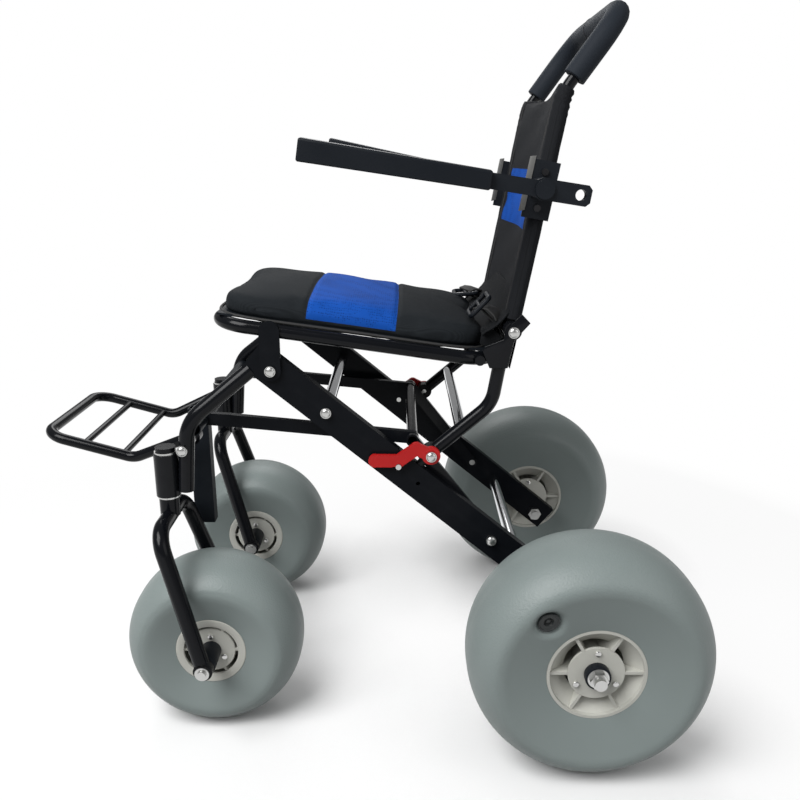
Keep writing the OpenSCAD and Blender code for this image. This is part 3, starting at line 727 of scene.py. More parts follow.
@dataclass(frozen=True)
class Cloth(Finish):
    """A matt woven cloth."""

    specular: float = 0.05
    pattern: Pattern = Pattern.WEAVE
    scale: float = 240.0
    relief: float = 0.35
    depth: float = 0.0005


@dataclass(frozen=True)
class PanelCloth(Cloth):
    """A cloth with a panel of open blue mesh let into it, between two corners in the turned Object coordinates."""

    low: Point = (0.0, 0.0, 0.0)
    high: Point = (0.0, 0.0, 0.0)
    panel: Colour = (0.007, 0.066, 0.34)
    eye_shade: float = 0.45
    knit: float = 330.0

    def let_in(self, tree: Tree, coords: Socket, colour: Socket, height: Socket) -> tuple[Socket, Socket]:
        """Lets the panel into the cloth.

        Args:
            tree: The material's nodes.
            coords: The turned Object coordinates.
            colour: The cloth's colour.
            height: The cloth's height.

        Returns:
            The colour and the height with the panel, as sockets.
        """
        along = tree.add("ShaderNodeSeparateXYZ", {0: coords}).outputs
        inside: object = 1.0
        for axis in range(3):
            for operation, limit in (("GREATER_THAN", self.low[axis]), ("LESS_THAN", self.high[axis])):
                inside = tree.math("MULTIPLY", inside, tree.math(operation, along[axis], limit))
        knit = tree.effect(Effects.mesh(), {"Vector": coords, "Scale": self.knit})
        eyes = tree.mix(knit.outputs["Mask"], self.panel, tuple(c * self.eye_shade for c in self.panel))
        plain = tree.math("MULTIPLY", height, tree.math("SUBTRACT", 1.0, inside))
        open_knit = tree.math("MULTIPLY", knit.outputs["Height"], inside)
        return tree.mix(inside, colour, eyes), tree.math("ADD", plain, open_knit)


def turned(matrix: Matrix, lean: float, corner: Point) -> Point:
    """A corner in a leaning frame, as the finish's turned Object coordinates give it."""
    return tuple(Matrix.Rotation(lean, 4, "Y") @ (matrix @ Vector(corner)))


GLOSS_BLACK = Finish(
    "gloss_black_paint", (0.003, 0.0035, 0.005), (0.005, 0.0055, 0.007), (0.12, 0.24),
    specular=0.15, relief=0.03, wear=0.1,
)
BEAM_BLACK = Finish(
    "beam_black_paint", (0.003, 0.0038, 0.0055), (0.005, 0.0058, 0.0075), (0.18, 0.3),
    specular=0.05, relief=0.03, wear=0.1,
)
MATT_BLACK = Finish(
    "matt_black_paint", (0.004, 0.006, 0.009), (0.007, 0.009, 0.012), (0.42, 0.58),
    specular=0.1, scale=1500, relief=0.1, wear=0.1,
)
BRIGHT_TUBE = Finish(
    "bright_tube", (0.78, 0.79, 0.81), (0.7, 0.71, 0.73), (0.1, 0.22), metallic=1, scale=700, relief=0.02,
)
ZINC = Finish("zinc_steel", (0.62, 0.62, 0.61), (0.5, 0.5, 0.49), (0.2, 0.38), metallic=1, scale=1200)
DARK_STEEL = Finish("blackened_steel", (0.03, 0.03, 0.033), (0.05, 0.05, 0.052), (0.3, 0.45), metallic=1, scale=1200)
STEEL_PLATE = Finish("plain_steel", (0.15, 0.15, 0.145), (0.11, 0.11, 0.105), (0.4, 0.55), metallic=0.2)
VALVE = Finish(
    "valve_rubber", (0.022, 0.025, 0.026), (0.032, 0.035, 0.035), (0.35, 0.5), specular=0.3, relief=0.1,
)
BUFFER = Finish(
    "buffer_rubber", (0.006, 0.006, 0.007), (0.011, 0.011, 0.012), (0.4, 0.6), specular=0.2, relief=0.1,
)
TYRE_GREY = Finish(
    "balloon_tyre", (0.19, 0.226, 0.221), (0.211, 0.247, 0.241), (0.4, 0.52),
    specular=0.45, scale=420, relief=0.45, depth=0.0012, tread="tread",
)
HUB_GREY = Finish(
    "hub_plastic", (0.7, 0.712, 0.637), (0.613, 0.625, 0.562), (0.4, 0.52), specular=0.4, relief=0.08, wear=0.15,
)
BLACK_MOULD = Finish(
    "moulded_black", (0.005, 0.007, 0.010), (0.009, 0.011, 0.015), (0.34, 0.5),
    specular=0.14, scale=1600, relief=0.16, wear=0.1,
)
FOAM = Finish(
    "foam_grip", (0.013, 0.017, 0.023), (0.019, 0.023, 0.03), (0.55, 0.75),
    specular=0.12, scale=1100, relief=0.35, depth=0.0008,
)
RED = Finish(
    "red_latch", (0.44, 0.008, 0.008), (0.36, 0.006, 0.007), (0.24, 0.36), specular=0.25, relief=0.04, wear=0.15,
)
WEBBING = Cloth(
    "webbing", (0.010, 0.011, 0.013), (0.017, 0.018, 0.02), (0.6, 0.78), scale=260, relief=0.5, depth=0.0006,
)
LINING = Cloth("lining_cloth", (0.010, 0.011, 0.012), (0.016, 0.017, 0.019), (0.66, 0.84))
SEAT_CLOTH = PanelCloth(
    "seat_cloth", (0.012, 0.0145, 0.017), (0.020, 0.023, 0.026), (0.6, 0.78), turn=SEAT_FALL,
    low=turned(SEAT_FRAME, SEAT_FALL, (SEAT_PANEL[0], -SEAT_PANEL_HALF, 0.02)),
    high=turned(SEAT_FRAME, SEAT_FALL, (SEAT_PANEL[1], SEAT_PANEL_HALF, 0.08)),
)
BACK_CLOTH = PanelCloth(
    "back_cloth", (0.013, 0.014, 0.016), (0.021, 0.022, 0.025), (0.66, 0.84),
    pattern=Pattern.HUNG_WEAVE, turn=BACK_LEAN,
    low=turned(BACK_FRAME, BACK_LEAN, (-0.010, -BACK_PANEL_HALF, BACK_PANEL[0])),
    high=turned(BACK_FRAME, BACK_LEAN, (0.03, BACK_PANEL_HALF, BACK_PANEL[1])),
)

NODE_FINISH: dict[Finish, tuple[str, ...]] = {
    GLOSS_BLACK: (
        "front_tube", "head_tube", "rear_strut", "cross_bar", "seat_loop", "back_post", "back_frame", "footrest_loop",
        "footrest_rungs", "fork",
    ),
    BEAM_BLACK: ("main_beam", "side_brace", "seat_lugs", "hinge_plates"),
    MATT_BLACK: ("front_cross_tube", "front_leg", "seat_board"),
    BRIGHT_TUBE: ("bright_cross_tubes", "back_cross_tube"),
    ZINC: ("head_bushes", "rear_axles", "axle_nuts", "frame_bolts", "latch_pins", "seat_bolts", "caster_axle"),
    DARK_STEEL: ("bracket_screws",),
    BUFFER: ("rest_bumpers",),
    TYRE_GREY: ("front_tyre", "rear_tyre"),
    HUB_GREY: ("front_hub", "rear_hub", "front_discs", "rear_discs"),
    BLACK_MOULD: ("arm_bar", "arm_pad", "arm_brackets", "belt_buckle"),
    SEAT_CLOTH: ("seat_cushion",),
    BACK_CLOTH: ("back_sleeve",),
    WEBBING: ("lap_belt",),
    FOAM: ("handle_foam",),
    RED: ("latch",),
}


def dress(piece: Piece, finish: Finish) -> None:
    """Gives a piece one finish."""
    piece.data.materials.clear()
    piece.data.materials.append(finish.material())


def hand_in(piece: Piece, finish: Finish, body: str, nodes: tuple[str, ...] = ()) -> None:
    """Finishes a new piece and puts it on its body.

    Args:
        piece: The piece, in place.
        finish: Its finish.
        body: The body that carries it.
        nodes: The frame's nodes that it stands for.
    """
    dress(piece, finish)
    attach(piece, body)
    if nodes:
        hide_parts(*nodes)
    LOG.info("%s rides on %s", piece.name, body)


# Sub-assemblies


@dataclass
class Wheel:
    """A balloon wheel: the tyre's hollow skin with its moulded lines, the hub's faces and the filling valve."""

    kind: Axle
    side: Side
    middle: Vector
    radius: float
    half_width: float
    rim: float
    face: float
    power: float = 2.6
    swell: float = 1.14
    flare: float = 0.28
    roll: float = 0.010
    wall: float = 0.005
    steps: int = 72
    line: float = 0.0012
    groove: float = 0.0006
    groove_from: float = 0.9
    rings: Pair = (0.74, 0.8)
    ring_height: float = 0.0005
    tread_from: float = 0.66
    tread_fade: float = 0.16
    tread_least: float = 0.12
    valve_turn: float = math.radians(50.3)
    valve_reach: float = 0.634
    valve_size: float = 0.0145
    valve_length: float = 0.012
    valve_sink: float = 0.0085
    valve_insets: Outline = ((0.12, 0.0), (0.06, -0.0016), (0.36, 0.0), (0.04, -0.004), (0.16, 0.0), (0.04, 0.002))
    dish: float = 1.45
    dish_depth: float = 0.0095
    dish_from: float = 0.6
    probe: float = 0.008
    screw_head: Pair = (0.0042, 0.0014)
    screw_in: float = 0.0017
    disc_share: float = 0.565
    disc_edge: float = 0.007

    hub_rings: ClassVar[dict[Axle, tuple[Outline, ...]]] = {
        Axle.REAR: (((0.0625, -0.005), (0.040, -0.022), (0.040, -0.0245), (0.0625, -0.0075)),),
        Axle.FRONT: (
            ((0.039, -0.004), (0.039, 0.0), (0.040, 0.0006), (0.0495, 0.0006), (0.0503, -0.0005), (0.0503, -0.004)),
            ((0.027, -0.0065), (0.027, -0.0038), (0.0335, -0.0038), (0.0345, -0.005), (0.0345, -0.0065)),
        ),
    }

    def name(self, part: str) -> str:
        """A part's name on this wheel."""
        return f"{self.kind.value}_{part}_{self.side.word}"

    def section(self, radius: float, half: float, edge: float) -> list[Pair]:
        """A skin's section as radius and distance from the middle plane.

        Args:
            radius: The skin's outer radius.
            half: Half its width.
            edge: Where it ends on the rim.

        Returns:
            The points from rim to rim.
        """
        start = math.asin((self.rim / radius) ** (self.power / 2))
        points = []
        for i in range(self.steps + 1):
            turn = start + (math.pi - 2 * start) * i / self.steps
            r = max(self.rim, radius * math.sin(turn) ** (2 / self.power))
            wide = half * self.swell * abs(math.cos(turn)) ** (2 / self.power)
            cone = edge + self.flare * (r - self.rim)
            share = min(1, max(0, 0.5 + 0.5 * (wide - cone) / self.roll))
            half_here = wide + (cone - wide) * share - self.roll * share * (1 - share)
            points.append((r, math.copysign(half_here, math.cos(turn))))
        return points

    def tyre(self) -> None:
        """Spins the tyre's closed section about the axle, and moulds its lines and the valve's dish."""
        outer = self.section(self.radius, self.half_width, self.face)
        inner = self.section(self.radius - self.wall, self.half_width - self.wall, self.face - self.wall)
        piece = Bench.spun(self.name("balloon"), outer + inner[::-1])
        points = Bench.points(piece)
        x, y, z = points.T
        reach = np.hypot(x, z) / self.radius
        sunk = 1 - self.groove * ridge(y, self.line) * (reach > self.groove_from) / self.radius
        x *= sunk
        z *= sunk
        y += np.sign(y) * self.ring_height * sum(ridge((reach - at) * self.radius, self.line) for at in self.rings)
        if self.kind is Axle.REAR:
            spot, _ = self.valve_spot()
            off = np.hypot(x - spot.x, z - spot.z) / (self.dish * self.valve_size)
            outside = y * self.side.value > self.half_width * self.dish_from
            y -= self.side.value * self.dish_depth * np.clip(1 - off**4, 0, 1) * outside
        Bench.set_points(piece, points)
        tread = np.clip((reach - self.tread_from) / self.tread_fade, self.tread_least, 1)
        piece.data.attributes.new("tread", "FLOAT", "POINT").data.foreach_set("value", tread.astype(np.float32))
        Bench.place(Bench.smooth(piece, 60), Matrix.Translation(self.middle))
        hand_in(piece, TYRE_GREY, self.name("wheel"), (self.name("tyre"),))

    def valve_spot(self) -> tuple[Vector, Vector]:
        """Finds the valve's place on the tyre's outer side.

        Returns:
            The valve's middle, from the wheel's middle, and the way it faces.
        """
        reach = self.radius * self.valve_reach
        section = sorted((r, b) for r, b in self.section(self.radius, self.half_width, self.face) if b > 0)
        radii, widths = zip(*section)
        y, inner, outer = np.interp((reach, reach - self.probe, reach + self.probe), radii, widths)
        slope = (inner - outer) / (2 * self.probe)
        c, s = math.cos(self.valve_turn), math.sin(self.valve_turn)
        way = Vector((slope * c, self.side.value, slope * s)).normalized()
        return Vector((c * reach, self.side.value * y, s * reach)), way

    def valve(self) -> None:
        """Sets a black filling plug into the dish on the tyre's outer side."""
        spot, way = self.valve_spot()
        cup = Bench.drum(self.name("valve"), self.valve_size, self.valve_length, (0, 0, 0))
        Bench.choose(cup, "FACE", lambda face: face.normal.y > 0.9)
        for width, depth in self.valve_insets:
            bpy.ops.mesh.inset(thickness=self.valve_size * width, depth=depth)
        bpy.ops.object.mode_set(mode="OBJECT")
        Bench.smooth(Bench.bevel(cup, 0.0006, 2))
        turn = way.to_track_quat("Y", "Z").to_matrix().to_4x4()
        Bench.place(cup, Matrix.Translation(self.middle + spot - way * self.valve_sink) @ turn)
        hand_in(cup, VALVE, self.name("wheel"))

    def hub_face(self) -> None:
        """Adds the floor behind a rear hub's ribs, or a front hub's flat ring and step, and the discs' screws."""
        body, place, ways = self.name("wheel"), Matrix.Translation(self.middle), (1, -1)
        rings = [
            Bench.spun("ring", [(r, way * (self.face + out)) for r, out in loop], 96)
            for way in ways for loop in self.hub_rings[self.kind]
        ]
        piece = Bench.smooth(Bench.join(self.name("hub_face"), rings))
        hand_in(Bench.place(piece, place), HUB_GREY, body)
        reach, deep = self.rim * self.disc_share - self.disc_edge, self.face - self.screw_in
        heads = [
            Bench.dome("head", *self.screw_head, (reach * math.sin(turn), way * deep, reach * math.cos(turn)))
            for turn in map(math.radians, (0, 120, 240)) for way in ways
        ]
        screws = Bench.smooth(Bench.join(self.name("disc_screws"), heads))
        hand_in(Bench.place(screws, place), ZINC, body)

    def build(self) -> None:
        """Builds the tyre, the hub's faces and, on a rear wheel, its valve."""
        self.tyre()
        self.hub_face()
        if self.kind is Axle.REAR:
            self.valve()


@dataclass
class SeatPad:
    """The seat cushion: a foam pad in black cloth with a blue panel."""

    length: float = 0.381
    width: float = 0.326
    edge: float = 0.021
    crown: float = 0.014
    draw: float = 0.003
    lift: float = 0.0131
    sag: float = 0.0095
    middle: float = 0.1970
    corner: int = 7
    roll: float = 0.045
    foot_rim: Pair = (0.95, 0.04)
    cuts: int = 27
    voxel: float = 0.005
    pressure: float = 4
    last_step: int = 20
    cap: float = 0.007
    seam: float = 0.0032
    seam_depth: float = 0.0026
    seam_fade: float = 0.004
    end_fade: float = 0.006
    skirt: float = 0.012
    dent: float = 0.0016
    side_seam: float = 0.002
    core: float = 0.05
    piping: float = 0.0021
    piping_out: float = 0.001
    piping_drop: float = 0.0012
    piping_steps: int = 96

    def shape(self) -> Piece:
        """Shapes a finely cut box into the pad before it swells.

        Returns:
            The pad in the seat's own frame.
        """
        piece = Bench.box("seat_pad", (2, 2, 2), self.cuts)
        u, v, w = Bench.points(piece).T
        rim = np.maximum(np.abs(u), np.abs(v))
        norm = (np.abs(u) ** self.corner + np.abs(v) ** self.corner) ** (1 / self.corner)
        pull = np.divide(rim, norm, out=np.ones_like(rim), where=norm > 0)
        turn = np.arctan2(v, u)
        sides = 1 - (self.draw / (self.width / 2)) * np.cos(2 * turn) ** 2 * rim**2
        roll = 1 - self.roll * np.abs(w) ** 4
        top = self.edge + self.crown * (1 - rim**3)
        x = self.middle + u * pull * sides * roll * self.length / 2
        y = v * pull * sides * roll * self.width / 2
        start, width = self.foot_rim
        foot = self.lift - self.sag * ramp(rim - start, width)
        z = foot + (w + 1) / 2 * (self.lift + top - foot)
        Bench.set_points(piece, np.stack([x, y, z], 1))
        return piece

    def swell(self, piece: Piece) -> None:
        """Blows the pad up like stuffed cloth, up to the cap, and keeps its foot flat.

        Args:
            piece: The pad.
        """
        Bench.modify(piece, "REMESH", mode="VOXEL", voxel_size=self.voxel)
        start = Bench.points(piece)
        cloth = piece.modifiers.new("swell", "CLOTH")
        cloth.settings.use_pressure = True
        cloth.settings.uniform_pressure_force = self.pressure
        cloth.settings.effector_weights.gravity = 0
        for step in range(1, self.last_step + 1):
            bpy.context.scene.frame_set(step)
        shown = piece.evaluated_get(bpy.context.evaluated_depsgraph_get())
        move = Bench.points(shown) - start
        piece.modifiers.remove(cloth)
        bpy.context.scene.frame_set(1)
        far = np.linalg.norm(move, axis=1, keepdims=True)
        points = start + move * np.minimum(1, self.cap / np.maximum(far, 1e-9))
        points[:, 2] = np.maximum(points[:, 2], start[:, 2].min())
        Bench.set_points(piece, points)

    def sew(self, piece: Piece) -> None:
        """Draws the panel's seams and the side seam into the pad, with slow dents of use.

        Args:
            piece: The pad.
        """
        x, y, z = Bench.points(piece).T
        rear, front = SEAT_PANEL
        inner = ramp(SEAT_PANEL_HALF + self.seam_fade - np.abs(y), self.end_fade)
        groove = sum(ridge(x - at, self.seam) for at in SEAT_PANEL) * inner
        between = ramp(x - rear, self.seam_fade) * ramp(front - x, self.seam_fade)
        groove += ridge(np.abs(y) - SEAT_PANEL_HALF, self.seam) * between
        top = z > self.lift + self.skirt
        z -= self.seam_depth * groove * top
        z -= self.dent * top * (np.sin(x * 31 + 1.2) * np.sin(y * 27 + 0.4) + 0.6 * np.sin(x * 63 + y * 41))
        out = np.hypot(x - self.middle, y)
        shrink = 1 - self.side_seam * ridge(z - self.lift, self.side_seam) / np.maximum(out, self.core)
        x = self.middle + (x - self.middle) * shrink
        Bench.set_points(piece, np.stack([x, y * shrink, np.maximum(z, self.lift - self.sag)], 1))

    def thread(self) -> Piece:
        """Runs the piping that closes the pad's lower edge.

        Returns:
            The piping in the seat's own frame.
        """
        route = []
        half_x, half_y = self.length / 2 + self.piping_out, self.width / 2 + self.piping_out
        for i in range(self.piping_steps):
            turn = 2 * math.pi * i / self.piping_steps
            c, s = math.cos(turn), math.sin(turn)
            pull = 1 / (abs(c) ** self.corner + abs(s) ** self.corner) ** (1 / self.corner)
            pull *= 1 - (self.draw / (self.width / 2)) * math.cos(2 * turn) ** 2
            route.append(Vector((self.middle + c * pull * half_x, s * pull * half_y, self.lift - self.piping_drop)))
        return Bench.tube("seat_piping", route, self.piping, closed=True)

    def build(self) -> None:
        """Builds the pad and its piping."""
        pad = self.shape()
        self.swell(pad)
        Bench.refine(pad, 1)
        self.sew(pad)
        Bench.place(Bench.smooth(pad, 180), SEAT_FRAME)
        hand_in(pad, SEAT_CLOTH, "seat_unit", ("seat_cushion",))
        hand_in(Bench.place(self.thread(), SEAT_FRAME), WEBBING, "seat_unit")


@dataclass
class BackSleeve:
    """The fabric sleeve that is pulled over the two back tubes and follows their bend at the top."""

    half: float = 0.150
    start: float = 0.014
    length: float = 0.303
    wrap: float = 0.0112
    bow: float = 0.006
    thick: float = 0.015
    dip: float = 0.004
    lining: float = 0.006
    flap: float = 0.076
    flap_back: float = 0.014
    flap_reach: Pair = (0.9, 0.05)
    flap_turn: float = 0.02
    flap_thick: float = 0.25
    straight: float = 0.2995
    bend: float = 0.055
    around: int = 176
    rows: int = 64
    stitch: float = 0.0022
    slack: float = 0.0011
    slack_reach: Pair = (0.95, 0.1)
    seam_in: float = 0.020
    seam_depth: float = 0.0014
    hems: Pair = (0.014, 0.016)
    hem_depth: float = 0.0011
    gather: float = 0.03
    gather_reach: Pair = (0.9, 0.08)
    gather_depth: Pair = (0.11, 0.0009)
    pull_at: float = 0.187
    pull_size: float = 0.05
    pull_reach: Pair = (0.86, 0.16)
    pull_depth: float = 0.0012
    patch_half: float = 0.12
    patch_depth: float = 0.0012
    piping: float = 0.0012
    piping_in: float = 0.0165
    piping_sink: float = 0.0006
    piping_ends: Pair = (0.004, 0.010)
    piping_steps: int = 41

    def outline(self, share: float) -> Pair:
        """Finds a point of the sleeve's section.

        Args:
            share: How far round the point is, from 0 to 1.

        Returns:
            The point, forward and sideways.
        """
        flat, arc = 2 * self.half, math.pi * self.wrap
        s = (share % 1.0) * 2 * (flat + arc)
        front = s < flat + arc
        s = s if front else s - flat - arc
        if s < flat:
            y = -self.half + s
            bend = self.bow * (1 - (y / self.half) ** 2)
            gape = self.wrap - (self.wrap - self.thick / 2) * (1 - (y / self.half) ** 2) ** 2
            return (gape - bend, y) if front else (-bend - gape, -y)
        turn = (s - flat) / self.wrap
        x, y = math.cos(turn) * self.wrap, self.half + math.sin(turn) * self.wrap
        return (x, y) if front else (-x, -y)

    def follow(self, points: np.ndarray) -> np.ndarray:
        """Bends points of the straight sleeve back with the tubes above their straight part.

        Args:
            points: Points in the straight sleeve.

        Returns:
            The bent points.
        """
        x, y, z = points.T
        turn = np.maximum(z - self.straight, 0) / self.bend
        bent_x = -self.bend * (1 - np.cos(turn)) + x * np.cos(turn)
        bent_z = np.minimum(z, self.straight) + self.bend * np.sin(turn) + x * np.sin(turn)
        return np.stack([bent_x, y, bent_z], 1)

    def crease(self, made: np.ndarray, rise: np.ndarray) -> None:
        """Presses seams, hems and slack folds into the straight sleeve.

        Args:
            made: The sleeve's points, which are moved.
            rise: Each point's share of the sleeve's height.
        """
        x, y, z = made.T
        front = x > -self.bow * 0.9
        inward = np.where(front, -1, 1)
        reach = np.abs(y) / self.half
        foot, head = rise * self.length, (1 - rise) * self.length
        inner = ramp(self.slack_reach[0] - reach, self.slack_reach[1])
        folds = np.sin(z * 46 + y * 9) * np.sin(y * 21 + 0.7) + 0.7 * np.sin(z * 83 - y * 31)
        x += self.slack * folds * inner
        x += inward * self.seam_depth * ridge(np.abs(y) - self.half + self.seam_in, self.stitch)
        hem = ridge(head - self.hems[1], self.stitch) + ridge(foot - self.hems[0], self.stitch)
        x += inward * self.hem_depth * hem * inner
        gather = ridge(head, self.gather) * ramp(reach - self.gather_reach[0], self.gather_reach[1])
        x *= 1 + self.gather_depth[0] * gather * np.sin(z * 640 + y * 55)
        y += np.sign(y) * self.gather_depth[1] * gather * np.sin(z * 520 + 1.3)
        pull = ridge(z - self.pull_at, self.pull_size) * ridge(reach - self.pull_reach[0], self.pull_reach[1])
        x -= self.pull_depth * pull * np.sin((z - self.pull_at) * 190)
        for at in BACK_PANEL:
            x -= self.patch_depth * ridge(z - at, self.stitch) * (np.abs(y) < self.patch_half) * front

    def panel(self) -> Piece:
        """Shapes a tall drum into the sleeve.

        Returns:
            The sleeve in the back's own frame.
        """
        Bench.clear()
        bpy.ops.mesh.primitive_cylinder_add(vertices=self.around, radius=1, depth=1, end_fill_type="TRIFAN")
        piece = Bench.named("back_cover")
        with Bench.editing(piece):
            for row in range(1, self.rows):
                bpy.ops.mesh.select_all(action="SELECT")
                bpy.ops.mesh.bisect(plane_co=(0, 0, row / self.rows - 0.5), plane_no=(0, 0, 1))
        points = Bench.points(piece)
        made = np.zeros_like(points)
        edge, fade = self.flap_reach
        for i, (x, y, z) in enumerate(points):
            capped = math.hypot(x, y) < 1e-4
            px, py = (-self.bow, 0.0) if capped else self.outline(math.atan2(y, x) / (2 * math.pi))
            reach = abs(py) / self.half
            middle = 1 - min(1.0, reach) ** 2.4
            lower = self.lining * middle if px > -self.bow * middle else 0.0
            top = self.length - self.dip * middle - lower
            low = self.flap * min(1.0, max(0.0, (edge - reach) / fade))
            made[i] = (px, py, self.start - low + (z + 0.5) * (top + low))
        self.crease(made, points[:, 2] + 0.5)
        hung = ramp(self.start - made[:, 2], self.flap_turn)
        made[:, 0] += hung * (self.flap_thick * (made[:, 0] + self.bow) - self.flap_back - made[:, 0])
        Bench.set_points(piece, self.follow(made))
        return Bench.smooth(Bench.mend(piece), 50)

    def build(self) -> None:
        """Builds the sleeve with a corded seam down each side of its front."""
        cover = Bench.place(self.panel(), BACK_FRAME)
        hand_in(cover, BACK_CLOTH, "backrest", ("back_sleeve",))
        foot, head = self.piping_ends
        heights = self.start + foot + np.linspace(0, 1, self.piping_steps) * (self.length - foot - head)
        for side in Side:
            y = side.value * (self.half - self.piping_in)
            share = 1 - (y / self.half) ** 2
            x = self.wrap - self.bow * share - (self.wrap - self.thick / 2) * share**2 - self.piping_sink
            route = self.follow(np.stack([np.full_like(heights, x), np.full_like(heights, y), heights], 1))
            cord = Bench.tube(f"back_piping_{side.word}", [Vector(spot) for spot in route], self.piping)
            hand_in(Bench.place(cord, BACK_FRAME), WEBBING, "backrest")


@dataclass
class BackApron:
    """The slack cloth that closes the gap between the back's sleeve and the cushion."""

    width: float = 0.316
    thick: float = 0.0026
    side_view: Outline = (
        (-0.0065, 0.050), (0.0, 0.032), (0.007, 0.0185), (0.0165, 0.0085), (0.026, 0.0005), (0.034, -0.003),
        (0.040, -0.008),
    )
    ear_at: float = 0.1455
    ear: Outline = (
        (0.019, 0.018), (-0.004, 0.011), (-0.009, 0.030), (-0.004, 0.037), (0.005, 0.041), (0.019, 0.040),
    )

    def ears(self) -> None:
        """Closes the ends below the apron, beside the cushion's rear corners."""
        for side in Side:
            name = f"apron_ear_{side.word}"
            piece = Bench.plate(name, self.ear, side.value * self.ear_at, side.value * self.thick)
            hand_in(Bench.place(piece, SEAT_FRAME), LINING, "seat_unit")

    def build(self) -> None:
        """Draws the cloth from the sleeve's front down to the cushion."""
        self.ears()
        route = [BACK_ORIGIN + Vector((x, 0, z)) for x, z in self.side_view]
        cloth = Bench.strap("back_apron", route, Vector((0, self.width, 0)), self.thick)
        Bench.smooth(Bench.refine(cloth, 2), 60)
        dress(cloth, LINING)
        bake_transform(cloth)
        LOG.info("%s spans seat_unit and backrest", cloth.name)


@dataclass
class HingePlates:
    """The small plates that carry the back's hinge, each with its tab and a stub to the seat's loop."""

    inner: float = 0.1758
    thick: float = 0.004
    stub_x: float = 0.018
    stub_from: float = 0.158
    stub_radius: float = 0.007
    outline: Outline = (
        (-0.0105, 0.0245), (-0.0225, 0.012), (-0.004, -0.009), (-0.001, -0.014), (0.002, -0.030), (0.006, -0.050),
        (0.031, -0.050), (0.041, -0.026), (0.038, -0.020), (0.013, -0.010), (0.009, 0.004),
    )

    def build(self) -> None:
        """Cuts both plates and joins them with their stubs."""
        corners = [(BACK_ORIGIN.x + x, BACK_ORIGIN.z + z) for x, z in self.outline]
        foot = SEAT_FRAME @ Vector((self.stub_x, 0, 0))
        pieces = []
        for side in Side:
            pieces.append(Bench.plate("hinge_plate", corners, side.value * self.inner, side.value * self.thick))
            place = (foot.x, side.value * (self.stub_from + self.inner) / 2, foot.z)
            pieces.append(Bench.smooth(Bench.drum("hinge_stub", self.stub_radius, self.inner - self.stub_from, place)))
        hand_in(Bench.join("hinge_plate_pair", pieces), GLOSS_BLACK, "seat_unit", ("hinge_plates",))


@dataclass
class BracketLiners:
    """The bare steel strips that show beside the armrest brackets."""

    faces: Outline = ((0.1663, 0.0009), (0.1613, -0.0009))
    outline: Outline = ((0.0262, 0.226), (0.0195, 0.228), (0.0195, 0.159), (0.0262, 0.156))

    def build(self) -> None:
        """Cuts a strip for the inner and the outer face of both brackets."""
        strips = [
            Bench.plate("strip", self.outline, side.value * face, side.value * thick)
            for side in Side for face, thick in self.faces
        ]
        piece = Bench.place(Bench.join("bracket_liners", strips), BACK_FRAME)
        hand_in(piece, STEEL_PLATE, "backrest")


@dataclass
class PushHandle:
    """The foam grip on the push handle, with the seam of its two pieces."""

    half: float = 0.150
    lean: float = math.radians(36)
    corner: float = 0.055
    corner_steps: int = 16
    radius: float = 0.0153
    rounding: float = 0.003
    start_share: float = 0.16
    length: float = 0.122
    back_length: float = 0.312
    seam: float = -0.024
    seam_radius: float = 0.0009
    seam_sink: float = 0.0004

    def route(self) -> list[Vector]:
        """Lays out the grip's middle line.

        Returns:
            Its points from the left end over the top to the right end.
        """
        top = BACK_FRAME @ Vector((0, 0, self.back_length))
        along = Vector((-math.sin(self.lean), 0, math.cos(self.lean)))
        start, end = top + along * self.length * self.start_share, top + along * self.length
        points = [start + Vector((0, self.half, 0))]
        bend = end - along * self.corner
        for i in range(self.corner_steps + 1):
            turn = math.pi / 2 * i / self.corner_steps
            y = self.half - self.corner + math.cos(turn) * self.corner
            points.append(bend + along * math.sin(turn) * self.corner + Vector((0, y, 0)))
        return points + [Vector((p.x, -p.y, p.z)) for p in reversed(points)]

    def build(self) -> None:
        """Builds the grip and the ring where its two foam pieces meet."""
        route = self.route()
        grip = Bench.tube("handle_grip", route, self.radius)
        Bench.smooth(Bench.bevel(grip, self.rounding, 3, 60), 50)
        hand_in(grip, FOAM, "backrest", ("handle_foam",))
        top = route[len(route) // 2]
        Bench.clear()
        bpy.ops.mesh.primitive_torus_add(
            major_radius=self.radius - self.seam_sink, minor_radius=self.seam_radius, major_segments=48,
            minor_segments=10, location=(top.x, self.seam, top.z), rotation=(math.pi / 2, 0, 0),
        )
        ring = Bench.smooth(Bench.settle(Bench.named("grip_ring")), 60)
        hand_in(ring, BUFFER, "backrest")


